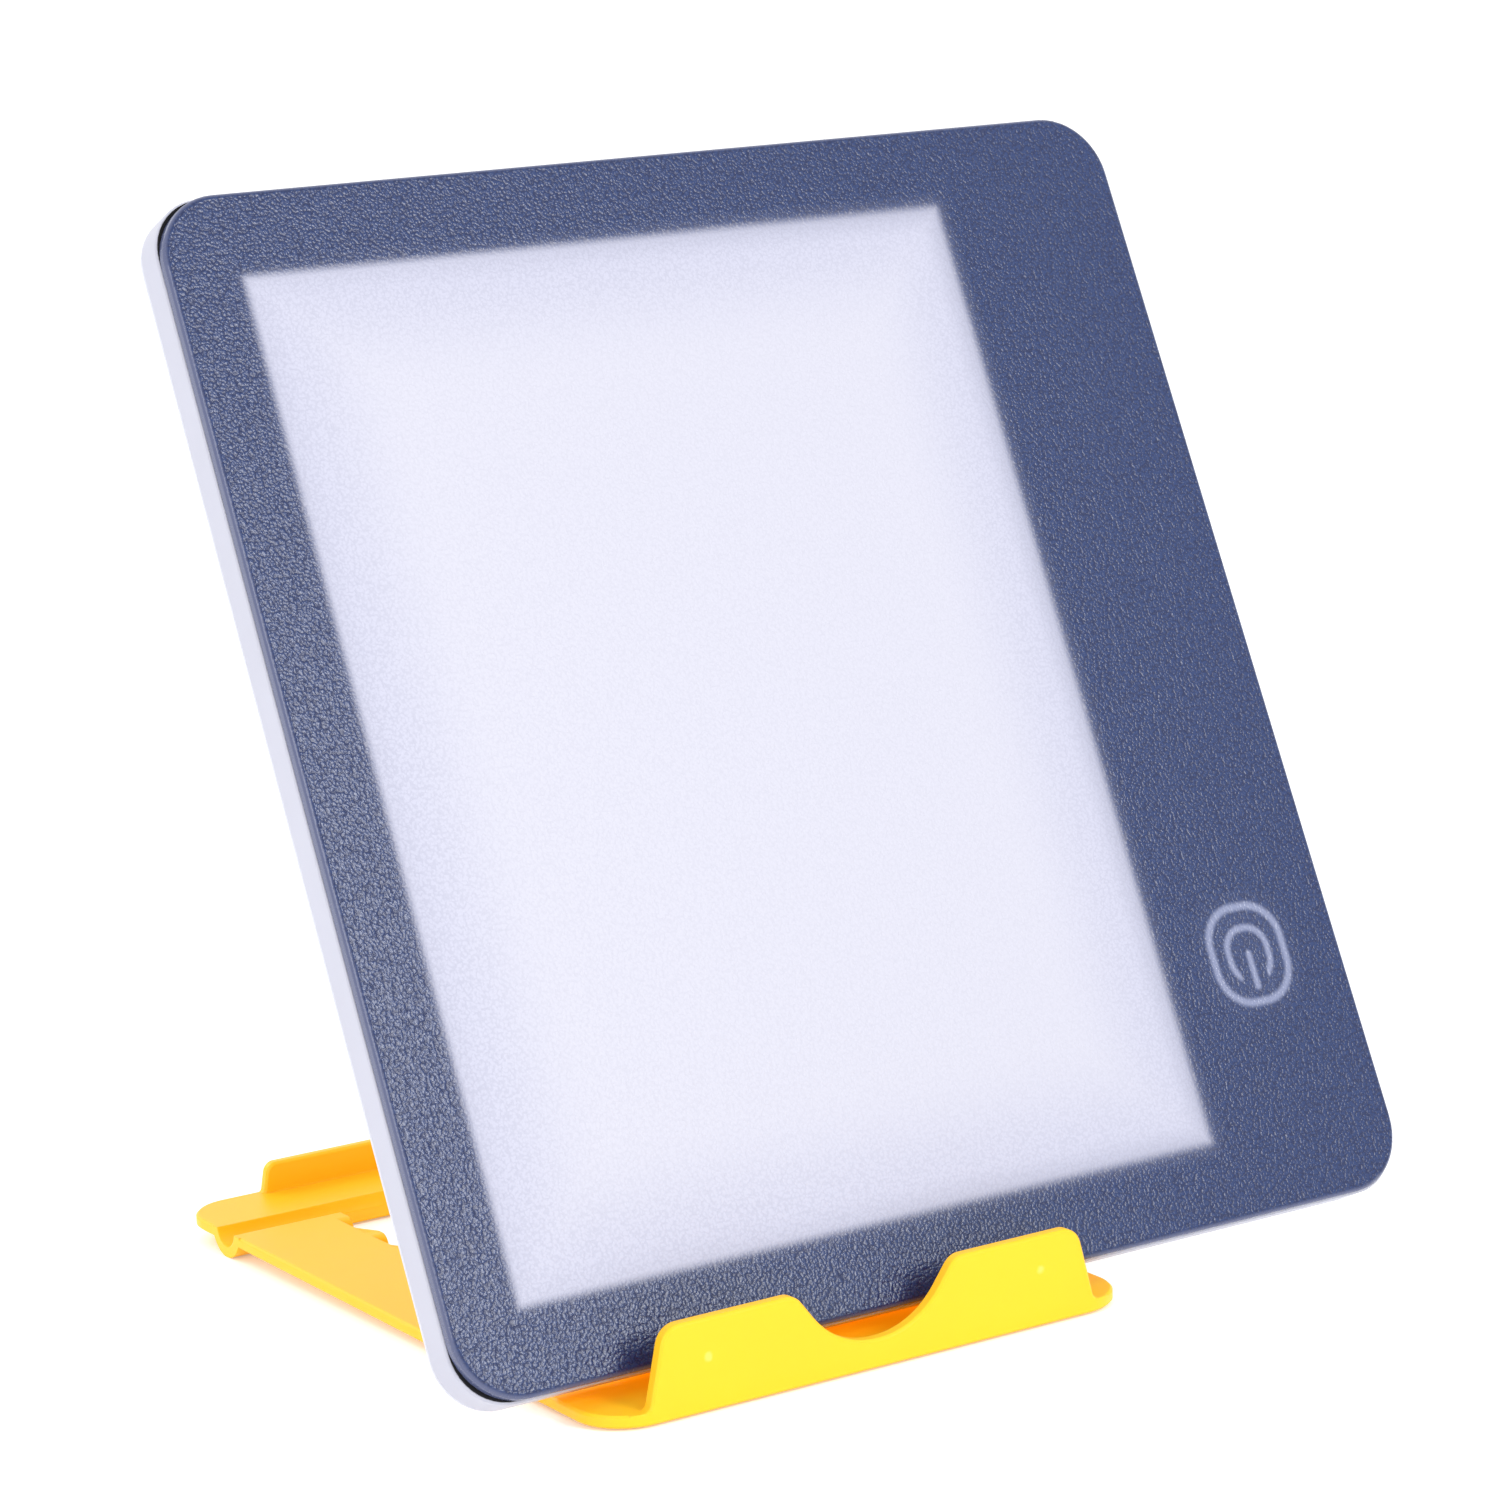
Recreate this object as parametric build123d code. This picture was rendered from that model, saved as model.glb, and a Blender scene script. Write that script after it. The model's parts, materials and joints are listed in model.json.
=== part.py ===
from build123d import *
import os
from math import asin, atan2, cos, degrees, radians, sin, tan

"""Light therapy lamp: a thin edge-lit panel that leans in a folding stand.

Lengths are in millimetres. The lamp is drawn flat, with X to the right, Y up its face and Z out of
its front. The stand is drawn with its base plate level: X to the right, Y to the rear, Z up, and the
plate's top at Z = 0. The panel, the prop and the lamp are then set at the rest angle, and everything
is levelled onto the table, with the origin under the middle of the whole object.
"""

# ---------------------------------------------------------------- lamp: outline and layers
LAMP_WIDTH = 143.0
LAMP_HEIGHT = 152.0
LAMP_CORNER = 7.4             # corner radius of the frame
WALL = 1.6                    # side wall of the frame
REAR_RIM = 0.8                # visible edge of the rear cover
REAR_SPIGOT = 0.6             # how far the rear cover steps into the frame
REFLECTOR_T = 0.25
GUIDE_T = 2.5
DIFFUSER_T = 0.35
PRISM_T = 0.25
FLANGE_T = 0.55               # front flange of the frame, over the sheets
MASK_T = 0.15
MASK_GAP = 0.15
COVER_T = 1.6
COVER_INSET = 0.15            # front cover's edge behind the frame's wall
COVER_CORNER_EXTRA = 1.4      # the cover's corners are rounder than the frame's
COVER_ROUND = 0.7             # rounded front edge of the cover
REAR_ROUND = 0.6
FRAME_BEVEL = 0.2             # front outer edge of the frame
SEAM_BEVEL = 0.15             # bevels of the seam between the frame and the rear cover
GASKET_INSET = 0.3
GASKET_WIDTH = 1.1
FIT_GAP = 0.15                # loose fit between mating shells
CUT_OVER = 1.0                # cutting shapes reach this far past what they cut

# ---------------------------------------------------------------- lamp: window and symbol
WINDOW_LEFT = 10.6            # border widths around the lit window
WINDOW_RIGHT = 28.4
WINDOW_TOP = 10.5
WINDOW_BOTTOM = 10.7
SYMBOL_RIGHT = 14.1           # centre of the power symbol from the right and bottom edges
SYMBOL_BOTTOM = 33.7
SYMBOL_RADIUS = 6.8
SYMBOL_STROKE = 0.85
SYMBOL_ARC_RADIUS = 3.7
SYMBOL_OPEN_ANGLE = 70.0      # opening of the inner arc, facing down
SYMBOL_BAR = 4.6

# ---------------------------------------------------------------- lamp: light guide and strip
GUIDE_OVERLAP = 2.0           # the guide reaches this far behind the border
GUIDE_GAP = 0.2               # guide to its ribs and to the chips
RIB_T = 1.0
RIB_GAP = 0.2                 # ribs stop short of the rear cover
STRIP_T = 0.8                 # LED board, standing on edge
CHIP_DEPTH = 0.8
CHIP_LENGTH = 3.0
CHIP_HEIGHT = 1.4
CHIP_PITCH = 5.6

# ---------------------------------------------------------------- lamp: screws
BOSS_RADIUS = 2.2
BOSS_INSET = 5.6              # boss centre from the side walls' outer faces
PILOT_RADIUS = 0.8
SCREW_RADIUS = 0.75
SCREW_HEAD_RADIUS = 1.6
SCREW_RECESS = 0.1
SCREW_TIP_GAP = 0.6
DRIVE_SLOT = 0.4
DRIVE_DEPTH = 0.45

# ---------------------------------------------------------------- lamp: electronics
BOARD_T = 0.8
BOARD_GAP = 0.3               # control board to the walls and ribs around it
BOARD_LIFT = 0.1              # control board above the rear cover
BOARD_BOTTOM = 18.0
BOARD_LENGTH = 92.0
POST_RADIUS = 1.2
POST_INSET = 2.0
SOCKET_UP = 75.0              # power socket's centre above the lamp's bottom edge
SOCKET_WIDTH = 8.94
SOCKET_HEIGHT = 3.16
SOCKET_LENGTH = 7.3
SOCKET_WALL = 0.3
SOCKET_ROUND = 1.4
SOCKET_RECESS = 0.1
SOCKET_GAP = 0.2
TONGUE_WIDTH = 6.7
TONGUE_T = 0.7
TONGUE_RECESS = 1.2
RIBBON_WIDTH = 3.0
RIBBON_T = 0.15
RIBBON_LAP = 4.0
RIBBON_FROM_TOP = 22.0
CHIP_SIZE = 5.0
CHIP_T = 0.9
INDUCTOR_SIZE = 6.0
INDUCTOR_T = 2.0
CAPACITOR_SIZE = (3.2, 1.6, 1.2)
PART_SPACING = 8.5
ELECTRODE_RADIUS = 5.0
ELECTRODE_T = 0.2
ELECTRODE_GAP = 0.3
CONTACT_RADIUS = 2.5

# ---------------------------------------------------------------- stand: base moulding
STAND_WIDTH = 77.7
STAND_CENTRE = 53.75          # middle of the stand from the lamp's left edge
PLATE_T = 1.6
FRONT_EDGE = 12.2             # plate's front edge ahead of the lamp's foot
FRONT_CORNER = 7.0
REAR_CORNER = 6.5
LIP_T = 1.8
LIP_HEIGHT = 10.0
LIP_ROOT_WIDTH = 65.3
LIP_TOP_WIDTH = 60.5
LIP_CORNER = 2.8
LIP_NOTCH_TOP = 23.4
LIP_NOTCH_FLOOR_WIDTH = 11.5
LIP_NOTCH_FLOOR = 2.1
LIP_NOTCH_ROUND = 11.3
LIP_ROOT_FILLET = 1.2         # inside the lip and at both of its ends
LIP_SHOULDER = 2.6            # where the notch meets the lip's top
REAR_LIP_HEIGHT = 4.1
REAR_LIP_T = 1.6
REAR_LIP_WIDTH = 53.2
REAR_LIP_CORNER = 1.6
REAR_LIP_FLARE = 0.5          # root fillet at both ends of the rear lip
TROUGH_AT = 86.6              # trough's axis behind the lamp's foot
TROUGH_UP = 0.4               # and above the plate's top
TROUGH_RADIUS = 2.5
TROUGH_WALL = 1.5
FLANGE_DEPTH = 13.9           # rear flange's back edge behind the trough's axis
WINDOW_WIDTH = 45.4           # opening between the two notched rails
WINDOW_START = 2.6
WINDOW_PAST_TROUGH = 1.5      # the opening ends this far behind the trough's axis
WINDOW_CORNER = 2.0
EDGE_BEVEL = 0.3              # softened edges of the moulding

# ---------------------------------------------------------------- stand: fold
PANEL_ANGLE = 65.15           # rest angle of the panel above the base plate
NOTCH_STEP = 13.5             # every notch lays the panel back by this much
NOTCH_COUNT = 4
NOTCH_DEPTH = 1.3
NOTCH_RAMP = 7.3
NOTCH_NOSE = 1.6              # rounded top of each tooth
NOTCH_WIDTH = 1.8             # how far a notch reaches into its rail
HINGE_AT = 6.0                # base hinge axis behind the lamp's foot
HINGE_UP = 1.5                # and above the plate's top
PROP_LENGTH = 40.3            # base hinge to prop hinge, and prop hinge to foot
KNUCKLE_RADIUS = 1.9
PIN_RADIUS = 1.0
PIN_FIT = 0.02                # pin in the piece that holds it
PIN_RUN = 0.06                # pin in the piece that turns on it
PIN_RECESS = 0.3
SIDE_GAP = 0.3                # between knuckles, side by side
EAR_WIDTH = 4.0
LUG_WIDTH = 3.7
LUG_INSET = 1.3               # lug's outer face inside the base's window
PANEL_WIDTH = 62.0
PANEL_T = 1.8
PANEL_LENGTH = 91.5
PANEL_FOOT = 1.5              # panel's lower edge below its hinge axis
PANEL_CORNER = 8.0
PANEL_RIB = 1.6
PANEL_RIB_T = 1.5
FINGER_RADIUS = 6.0
PAD_T = 0.5
PAD_SIZE = (48.0, 8.0)
PAD_AT = (14.0, 76.0)
PAD_CORNER = 1.5
PROP_T = 1.8
PROP_FOOT_WIDTH = 41.0
PROP_HOLE = (12.0, 18.0)
PROP_HOLE_CORNER = 3.0
FOOT_RADIUS = 1.2
FOOT_OVERHANG = 1.6           # foot bar's ends over each rail

# ---------------------------------------------------------------- seating and levelling
LAMP_GAP = 0.3                # lamp to the plate and to the pads
FRONT_CLEARANCE = 0.3         # plate's front edge above the table
FRONT_FOOT_RADIUS = 4.0
FRONT_FOOT_T = 0.9
FRONT_FOOT_GAP = 0.1
FRONT_FOOT_INSET = 10.0       # foot disc's centre from the plate's side
FRONT_FOOT_BACK = 9.5         # and behind the plate's front edge

# ---------------------------------------------------------------- levels in the lamp
STACK_Z = REAR_RIM + REAR_SPIGOT
GUIDE_Z = STACK_Z + REFLECTOR_T
DIFFUSER_Z = GUIDE_Z + GUIDE_T
PRISM_Z = DIFFUSER_Z + DIFFUSER_T
FLANGE_Z = PRISM_Z + PRISM_T
GASKET_Z = FLANGE_Z + FLANGE_T
COVER_Z = GASKET_Z + MASK_GAP + MASK_T
FRONT_Z = COVER_Z + COVER_T
BOARD_Z = STACK_Z + BOARD_LIFT
PARTS_Z = BOARD_Z + BOARD_T
SOCKET_Z = BOARD_Z + SOCKET_HEIGHT / 2
ELECTRODE_Z = COVER_Z - MASK_T - ELECTRODE_T

# ---------------------------------------------------------------- places in the lamp
WINDOW_X = (WINDOW_LEFT, LAMP_WIDTH - WINDOW_RIGHT)
WINDOW_Y = (WINDOW_BOTTOM, LAMP_HEIGHT - WINDOW_TOP)
GUIDE_X = (WINDOW_X[0] - GUIDE_OVERLAP, WINDOW_X[1] + GUIDE_OVERLAP)
GUIDE_Y = (WINDOW_Y[0] - GUIDE_OVERLAP, WINDOW_Y[1] + GUIDE_OVERLAP)
CHIP_X = GUIDE_X[1] + GUIDE_GAP
STRIP_X = CHIP_X + CHIP_DEPTH
RIB_X = STRIP_X + STRIP_T + GUIDE_GAP
BOARD_X = (RIB_X + RIB_T + BOARD_GAP, LAMP_WIDTH - WALL - BOARD_GAP)
BOARD_Y = (BOARD_BOTTOM, BOARD_BOTTOM + BOARD_LENGTH)
BOARD_MIDDLE = (BOARD_X[0] + BOARD_X[1]) / 2
RIBBON_Y = BOARD_Y[1] - RIBBON_FROM_TOP
SYMBOL = (LAMP_WIDTH - SYMBOL_RIGHT, SYMBOL_BOTTOM)
BOSSES = [
    (x, y)
    for x in (BOSS_INSET, LAMP_WIDTH - BOSS_INSET)
    for y in (BOSS_INSET, LAMP_HEIGHT - BOSS_INSET)
]

# ---------------------------------------------------------------- places in the stand
LEAN = radians(PANEL_ANGLE)
FLANGE_END = TROUGH_AT + FLANGE_DEPTH
PANEL_TOP = PANEL_LENGTH - PANEL_FOOT
HINGE_DEPTH = HINGE_AT * sin(LEAN) - HINGE_UP * cos(LEAN)
PAD_FRONT = HINGE_DEPTH - LAMP_GAP
PANEL_FRONT = PAD_FRONT - PAD_T
PANEL_REAR = PANEL_FRONT - PANEL_T
LUG_OUTER = WINDOW_WIDTH / 2 - LUG_INSET
LUG_INNER = LUG_OUTER - LUG_WIDTH
PROP_HALF = LUG_INNER - SIDE_GAP
NOTCHES = [
    HINGE_AT + 2 * PROP_LENGTH * cos(radians(PANEL_ANGLE - NOTCH_STEP * step)) + FOOT_RADIUS
    for step in range(NOTCH_COUNT)
]


def span(x, y, z):
    """Box between (low, high) pairs along each axis."""
    size = [pair[1] - pair[0] for pair in (x, y, z)]
    centre = [(pair[0] + pair[1]) / 2 for pair in (x, y, z)]
    return Pos(*centre) * Box(*size)


def rounded(x, y, radius):
    """Rounded rectangle between (low, high) pairs."""
    shape = RectangleRounded(x[1] - x[0], y[1] - y[0], radius)
    return Pos((x[0] + x[1]) / 2, (y[0] + y[1]) / 2) * shape


def slab(sketch, low, high):
    """A flat outline raised from one level to another."""
    return Pos(0, 0, low) * extrude(sketch, high - low)


def rod(x, y, z, radius):
    """Cylinder along X between a (low, high) pair."""
    return Pos((x[0] + x[1]) / 2, y, z) * Rot(0, 90, 0) * Cylinder(radius, x[1] - x[0])


def lamp_outline(inset, extra=0.0):
    """The lamp's outline, moved in by inset; extra makes its corners rounder."""
    radius = max(LAMP_CORNER - inset + extra, WALL)
    return rounded((inset, LAMP_WIDTH - inset), (inset, LAMP_HEIGHT - inset), radius)


def both_sides(piece):
    """A piece and its mirror image across the middle plane X = 0."""
    return piece + mirror(piece, Plane.YZ)


# ================================================================ lamp shells
def make_front_cover():
    cover = slab(lamp_outline(COVER_INSET, COVER_CORNER_EXTRA), COVER_Z, FRONT_Z)
    return fillet(cover.faces().sort_by(Axis.Z)[-1].edges(), min(COVER_ROUND, COVER_T * 0.75))


def power_symbol():
    """Ring, open arc and bar of the generic power symbol, centred on the origin."""
    half = SYMBOL_STROKE / 2
    ring = Circle(SYMBOL_RADIUS) - Circle(SYMBOL_RADIUS - SYMBOL_STROKE)
    arc = Circle(SYMBOL_ARC_RADIUS + half) - Circle(SYMBOL_ARC_RADIUS - half)
    reach = 2 * SYMBOL_RADIUS
    side = reach * sin(radians(SYMBOL_OPEN_ANGLE / 2))
    drop = reach * cos(radians(SYMBOL_OPEN_ANGLE / 2))
    arc -= Polygon((0, 0), (side, -drop), (-side, -drop), align=None)
    bar = Pos(0, -SYMBOL_BAR / 2) * SlotOverall(SYMBOL_BAR, SYMBOL_STROKE, rotation=90)
    return [ring, arc, bar]


def make_border_mask():
    inset = GASKET_INSET + GASKET_WIDTH + FIT_GAP
    mask = slab(lamp_outline(inset), COVER_Z - MASK_T, COVER_Z)
    mask -= span(WINDOW_X, WINDOW_Y, (COVER_Z - 2 * MASK_T, COVER_Z + MASK_T))
    for stroke in power_symbol():
        mask -= slab(Pos(*SYMBOL) * stroke, COVER_Z - 2 * MASK_T, COVER_Z + MASK_T)
    return mask


def make_cover_gasket():
    ring = lamp_outline(GASKET_INSET) - lamp_outline(GASKET_INSET + GASKET_WIDTH)
    return slab(ring, GASKET_Z, COVER_Z)


def guide_ribs():
    """Ribs that locate the light guide and back up the LED board."""
    low = STACK_Z + RIB_GAP
    inner_x = (GUIDE_X[0] - GUIDE_GAP, RIB_X)
    inner_y = (GUIDE_Y[0] - GUIDE_GAP, GUIDE_Y[1] + GUIDE_GAP)
    outer_x = (inner_x[0] - RIB_T, inner_x[1] + RIB_T)
    outer_y = (inner_y[0] - RIB_T, inner_y[1] + RIB_T)
    ribs = span(outer_x, outer_y, (low, FLANGE_Z)) - span(inner_x, inner_y, (low, FLANGE_Z))
    passage_y = (RIBBON_Y - RIBBON_WIDTH, RIBBON_Y + RIBBON_WIDTH)
    return ribs - span((RIB_X - RIB_T, RIB_X + 2 * RIB_T), passage_y, (low, PARTS_Z + RIB_T))


def board_corners():
    inset = POST_INSET
    return [
        (x, y)
        for x in (BOARD_X[0] + inset, BOARD_X[1] - inset)
        for y in (BOARD_Y[0] + inset, BOARD_Y[1] - inset)
    ]


def make_side_frame():
    frame = slab(lamp_outline(0), REAR_RIM, GASKET_Z)
    frame = chamfer(frame.faces().sort_by(Axis.Z)[-1].edges(), min(FRAME_BEVEL, FLANGE_T / 2))
    frame = chamfer(frame.faces().sort_by(Axis.Z)[0].edges(), SEAM_BEVEL)
    frame -= slab(lamp_outline(WALL), REAR_RIM - CUT_OVER, GASKET_Z + CUT_OVER)
    frame += slab(lamp_outline(WALL / 2), FLANGE_Z, GASKET_Z)
    frame -= span(WINDOW_X, WINDOW_Y, (FLANGE_Z - CUT_OVER, GASKET_Z + CUT_OVER))
    frame += guide_ribs()
    for place in BOSSES:
        boss = slab(Pos(*place) * Circle(BOSS_RADIUS), STACK_Z, FLANGE_Z)
        frame += boss
        pilot_top = FLANGE_Z - SCREW_TIP_GAP / 2
        frame -= slab(Pos(*place) * Circle(PILOT_RADIUS), STACK_Z - CUT_OVER, pilot_top)
    for place in board_corners():
        frame += slab(Pos(*place) * Circle(POST_RADIUS), PARTS_Z, FLANGE_Z)
    opening = Pos(*SYMBOL) * Circle(ELECTRODE_RADIUS + ELECTRODE_GAP)
    frame -= slab(opening, FLANGE_Z - CUT_OVER, GASKET_Z + CUT_OVER)
    return frame - socket_block(SOCKET_GAP, LAMP_WIDTH - WALL - CUT_OVER, LAMP_WIDTH + CUT_OVER)


def make_rear_cover():
    cover = slab(lamp_outline(0), 0, REAR_RIM)
    cover = fillet(cover.faces().sort_by(Axis.Z)[0].edges(), min(REAR_ROUND, REAR_RIM * 0.75))
    cover = chamfer(cover.faces().sort_by(Axis.Z)[-1].edges(), SEAM_BEVEL)
    cover += slab(lamp_outline(WALL + FIT_GAP), REAR_RIM / 2, STACK_Z)
    for place in BOSSES:
        cover -= Pos(*place) * screw_seat()
    return cover


def screw_profile(head, shank, top, tip):
    """Half section of a countersunk screw, head at the top level and tip at the other."""
    cone = top + head - shank
    return Plane.XZ * Polygon((0, top), (head, top), (shank, cone), (shank, tip), (0, tip), align=None)


def screw_seat():
    """Countersunk hole through the rear cover, wider than the screw all round."""
    head = SCREW_HEAD_RADIUS + SCREW_RECESS + PIN_FIT
    cone = revolve(screw_profile(head, SCREW_RADIUS + FIT_GAP, 0, STACK_Z + CUT_OVER), Axis.Z)
    return cone


def make_rear_screws():
    """Four countersunk screws with a crossed drive recess."""
    tip = FLANGE_Z - SCREW_TIP_GAP
    screw = revolve(screw_profile(SCREW_HEAD_RADIUS, SCREW_RADIUS, SCREW_RECESS, tip), Axis.Z)
    reach = SCREW_HEAD_RADIUS * 0.6
    depth = (0, SCREW_RECESS + DRIVE_DEPTH)
    for turn in (0, 90):
        slot = span((-reach, reach), (-DRIVE_SLOT / 2, DRIVE_SLOT / 2), depth)
        screw -= Rot(0, 0, turn) * slot
    return Compound([Pos(*place) * screw for place in BOSSES])


# ================================================================ lamp light stack
def guide_sheet(low, thickness):
    return span(GUIDE_X, GUIDE_Y, (low, low + thickness))


def strip_height():
    return (STACK_Z + RIB_GAP, FLANGE_Z - FIT_GAP)


def make_led_board():
    return span((STRIP_X, STRIP_X + STRIP_T), GUIDE_Y, strip_height())


def make_led_chips():
    """One LED every pitch along the guide's edge."""
    length = GUIDE_Y[1] - GUIDE_Y[0]
    count = int((length - CHIP_LENGTH) / CHIP_PITCH) + 1
    first = (GUIDE_Y[0] + GUIDE_Y[1]) / 2 - CHIP_PITCH * (count - 1) / 2
    middle = GUIDE_Z + GUIDE_T / 2
    height = (middle - CHIP_HEIGHT / 2, middle + CHIP_HEIGHT / 2)
    chips = []
    for index in range(count):
        y = first + CHIP_PITCH * index
        chips.append(span((CHIP_X, STRIP_X), (y - CHIP_LENGTH / 2, y + CHIP_LENGTH / 2), height))
    return Compound(chips)


def make_led_ribbon():
    width = (RIBBON_Y - RIBBON_WIDTH / 2, RIBBON_Y + RIBBON_WIDTH / 2)
    return span((STRIP_X + STRIP_T, BOARD_X[0] + RIBBON_LAP), width, (PARTS_Z, PARTS_Z + RIBBON_T))


# ================================================================ lamp electronics
def make_control_board():
    board = span(BOARD_X, BOARD_Y, (BOARD_Z, PARTS_Z))
    start = LAMP_WIDTH - SOCKET_RECESS - SOCKET_LENGTH - SOCKET_GAP
    half = SOCKET_WIDTH / 2 + SOCKET_GAP
    notch_y = (SOCKET_UP - half, SOCKET_UP + half)
    return board - span((start, LAMP_WIDTH), notch_y, (BOARD_Z - CUT_OVER, PARTS_Z + CUT_OVER))


def board_part(size, height, across, along):
    """A square block on the board, counted in spacings from the ribbon's end."""
    x = BOARD_MIDDLE + across * PART_SPACING / 2
    y = RIBBON_Y + PART_SPACING * along
    return Pos(x, y, PARTS_Z + height / 2) * Box(size, size, height)


def make_filter_capacitors():
    length, width, height = CAPACITOR_SIZE
    y = RIBBON_Y - 1.5 * PART_SPACING
    block = Box(length, width, height)
    places = [Pos(BOARD_MIDDLE + side * length, y, PARTS_Z + height / 2) for side in (-1, 1)]
    return Compound([place * block for place in places])


def socket_block(grow, start, end):
    """The socket's rounded section along X, grown all round."""
    section = RectangleRounded(SOCKET_HEIGHT + 2 * grow, SOCKET_WIDTH + 2 * grow, SOCKET_ROUND + grow)
    return Pos(start, SOCKET_UP, SOCKET_Z) * Rot(0, 90, 0) * extrude(section, end - start)


def make_socket_shell():
    end = LAMP_WIDTH - SOCKET_RECESS
    start = end - SOCKET_LENGTH
    return socket_block(0, start, end) - socket_block(-SOCKET_WALL, start + SOCKET_WALL, end + CUT_OVER)


def make_socket_tongue():
    end = LAMP_WIDTH - SOCKET_RECESS
    start = end - SOCKET_LENGTH + SOCKET_WALL
    half = TONGUE_WIDTH / 2
    width = (SOCKET_UP - half, SOCKET_UP + half)
    height = (SOCKET_Z - TONGUE_T / 2, SOCKET_Z + TONGUE_T / 2)
    return span((start, end - TONGUE_RECESS), width, height)


def make_touch_electrode():
    return slab(Pos(*SYMBOL) * Circle(ELECTRODE_RADIUS), ELECTRODE_Z, COVER_Z - MASK_T)


def make_touch_contact():
    return slab(Pos(*SYMBOL) * Circle(CONTACT_RADIUS), PARTS_Z, ELECTRODE_Z)


# ================================================================ stand: base moulding
def section_x(sketch, x):
    """Extrude a side view, drawn as (rearward, up), along X between a (low, high) pair."""
    return Pos(x[0], 0, 0) * extrude(Plane.YZ * sketch, x[1] - x[0])


def sheet_outline():
    """Plate and rear flange in one outline, with rounded corners."""
    half = STAND_WIDTH / 2
    front = rounded((-half, half), (-FRONT_EDGE, TROUGH_AT), FRONT_CORNER)
    rear = rounded((-half, half), (TROUGH_AT - FRONT_CORNER, FLANGE_END), REAR_CORNER)
    middle = rounded((-half, half), (FRONT_CORNER, TROUGH_AT + REAR_CORNER / 2), EDGE_BEVEL)
    return front + rear + middle


def base_sheet():
    """The level sheet, bevelled along its upper and lower edges."""
    sheet = slab(sheet_outline(), -PLATE_T, 0)
    faces = sheet.faces().sort_by(Axis.Z)
    return chamfer(faces[-1].edges() + faces[0].edges(), min(EDGE_BEVEL, PLATE_T / 4))


def base_trough():
    """Open-ended U channel that hangs under the sheet, and the slot it leaves in the sheet."""
    x = (-STAND_WIDTH / 2, STAND_WIDTH / 2)
    outer = rod(x, TROUGH_AT, TROUGH_UP, TROUGH_RADIUS + TROUGH_WALL)
    reach = TROUGH_RADIUS + 2 * TROUGH_WALL
    through = (x[0] - CUT_OVER, x[1] + CUT_OVER)
    outer -= span(through, (TROUGH_AT - reach, TROUGH_AT + reach), (0, TROUGH_UP + reach))
    slot = rod(through, TROUGH_AT, TROUGH_UP, TROUGH_RADIUS)
    return outer, slot


def trapezoid(root, top, height, corner, flare):
    """Upright wall outline: a foot inside the sheet, flared root, narrower top with round corners."""
    foot = root / 2 + 2 * flare
    outline = Polygon(
        (-foot, -PLATE_T / 2), (foot, -PLATE_T / 2), (foot, 0), (root / 2, 0),
        (top / 2, height), (-top / 2, height), (-root / 2, 0), (-foot, 0), align=None,
    )
    outline = fillet(outline.vertices().group_by(Axis.Y)[1].sort_by(Axis.X)[1:-1], flare)
    return fillet(outline.vertices().group_by(Axis.Y)[-1], corner)


def upright(outline, thickness):
    """A wall that stands on an outline, bevelled along both sides of its free edge."""
    wall = extrude(Plane.XZ * outline, -thickness)
    faces = wall.faces().sort_by(Axis.Y)
    free = [edge for face in (faces[0], faces[-1]) for edge in face.edges() if edge.center().Z > 0]
    return chamfer(free, min(EDGE_BEVEL, thickness / 4))


def front_lip():
    """Front lip with the U-shaped notch that leaves the lamp's edge free."""
    outline = trapezoid(LIP_ROOT_WIDTH, LIP_TOP_WIDTH, LIP_HEIGHT, LIP_CORNER, LIP_ROOT_FILLET)
    top = LIP_NOTCH_TOP / 2
    floor = LIP_NOTCH_FLOOR_WIDTH / 2
    run = (top - floor) / (LIP_HEIGHT - LIP_NOTCH_FLOOR)
    over = top + run * CUT_OVER
    notch = Polygon(
        (-floor, LIP_NOTCH_FLOOR), (floor, LIP_NOTCH_FLOOR),
        (over, LIP_HEIGHT + CUT_OVER), (-over, LIP_HEIGHT + CUT_OVER), align=None,
    )
    widest = floor / tan(atan2(1, run) / 2)
    outline -= fillet(notch.vertices().group_by(Axis.Y)[0], min(LIP_NOTCH_ROUND, widest * 0.98))
    shoulders = outline.vertices().group_by(Axis.Y)[-1].sort_by(Axis.X)[1:-1]
    wall = Pos(0, -FRONT_EDGE, 0) * upright(fillet(shoulders, LIP_SHOULDER), LIP_T)
    return wall & slab(sheet_outline(), -PLATE_T, LIP_HEIGHT + CUT_OVER)


def root_fillet():
    """Concave fillet along the inside of the front lip's root."""
    size = LIP_ROOT_FILLET
    corner = Rectangle(size, size, align=(Align.MIN, Align.MIN)) - Pos(size, size) * Circle(size)
    half = LIP_TOP_WIDTH / 2
    return Pos(0, LIP_T - FRONT_EDGE, 0) * section_x(corner, (-half, half))


def rear_lip():
    top = REAR_LIP_WIDTH - REAR_LIP_T
    outline = trapezoid(REAR_LIP_WIDTH, top, REAR_LIP_HEIGHT, REAR_LIP_CORNER, REAR_LIP_FLARE)
    return Pos(0, FLANGE_END - REAR_LIP_T, 0) * upright(outline, REAR_LIP_T)


def base_window():
    """Opening between the rails, cut on through the trough's front wall and floor."""
    half = WINDOW_WIDTH / 2
    outline = rounded((-half, half), (WINDOW_START, TROUGH_AT + WINDOW_PAST_TROUGH), WINDOW_CORNER)
    drop = TROUGH_RADIUS + TROUGH_WALL + CUT_OVER
    return slab(outline, -drop, CUT_OVER)


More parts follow.
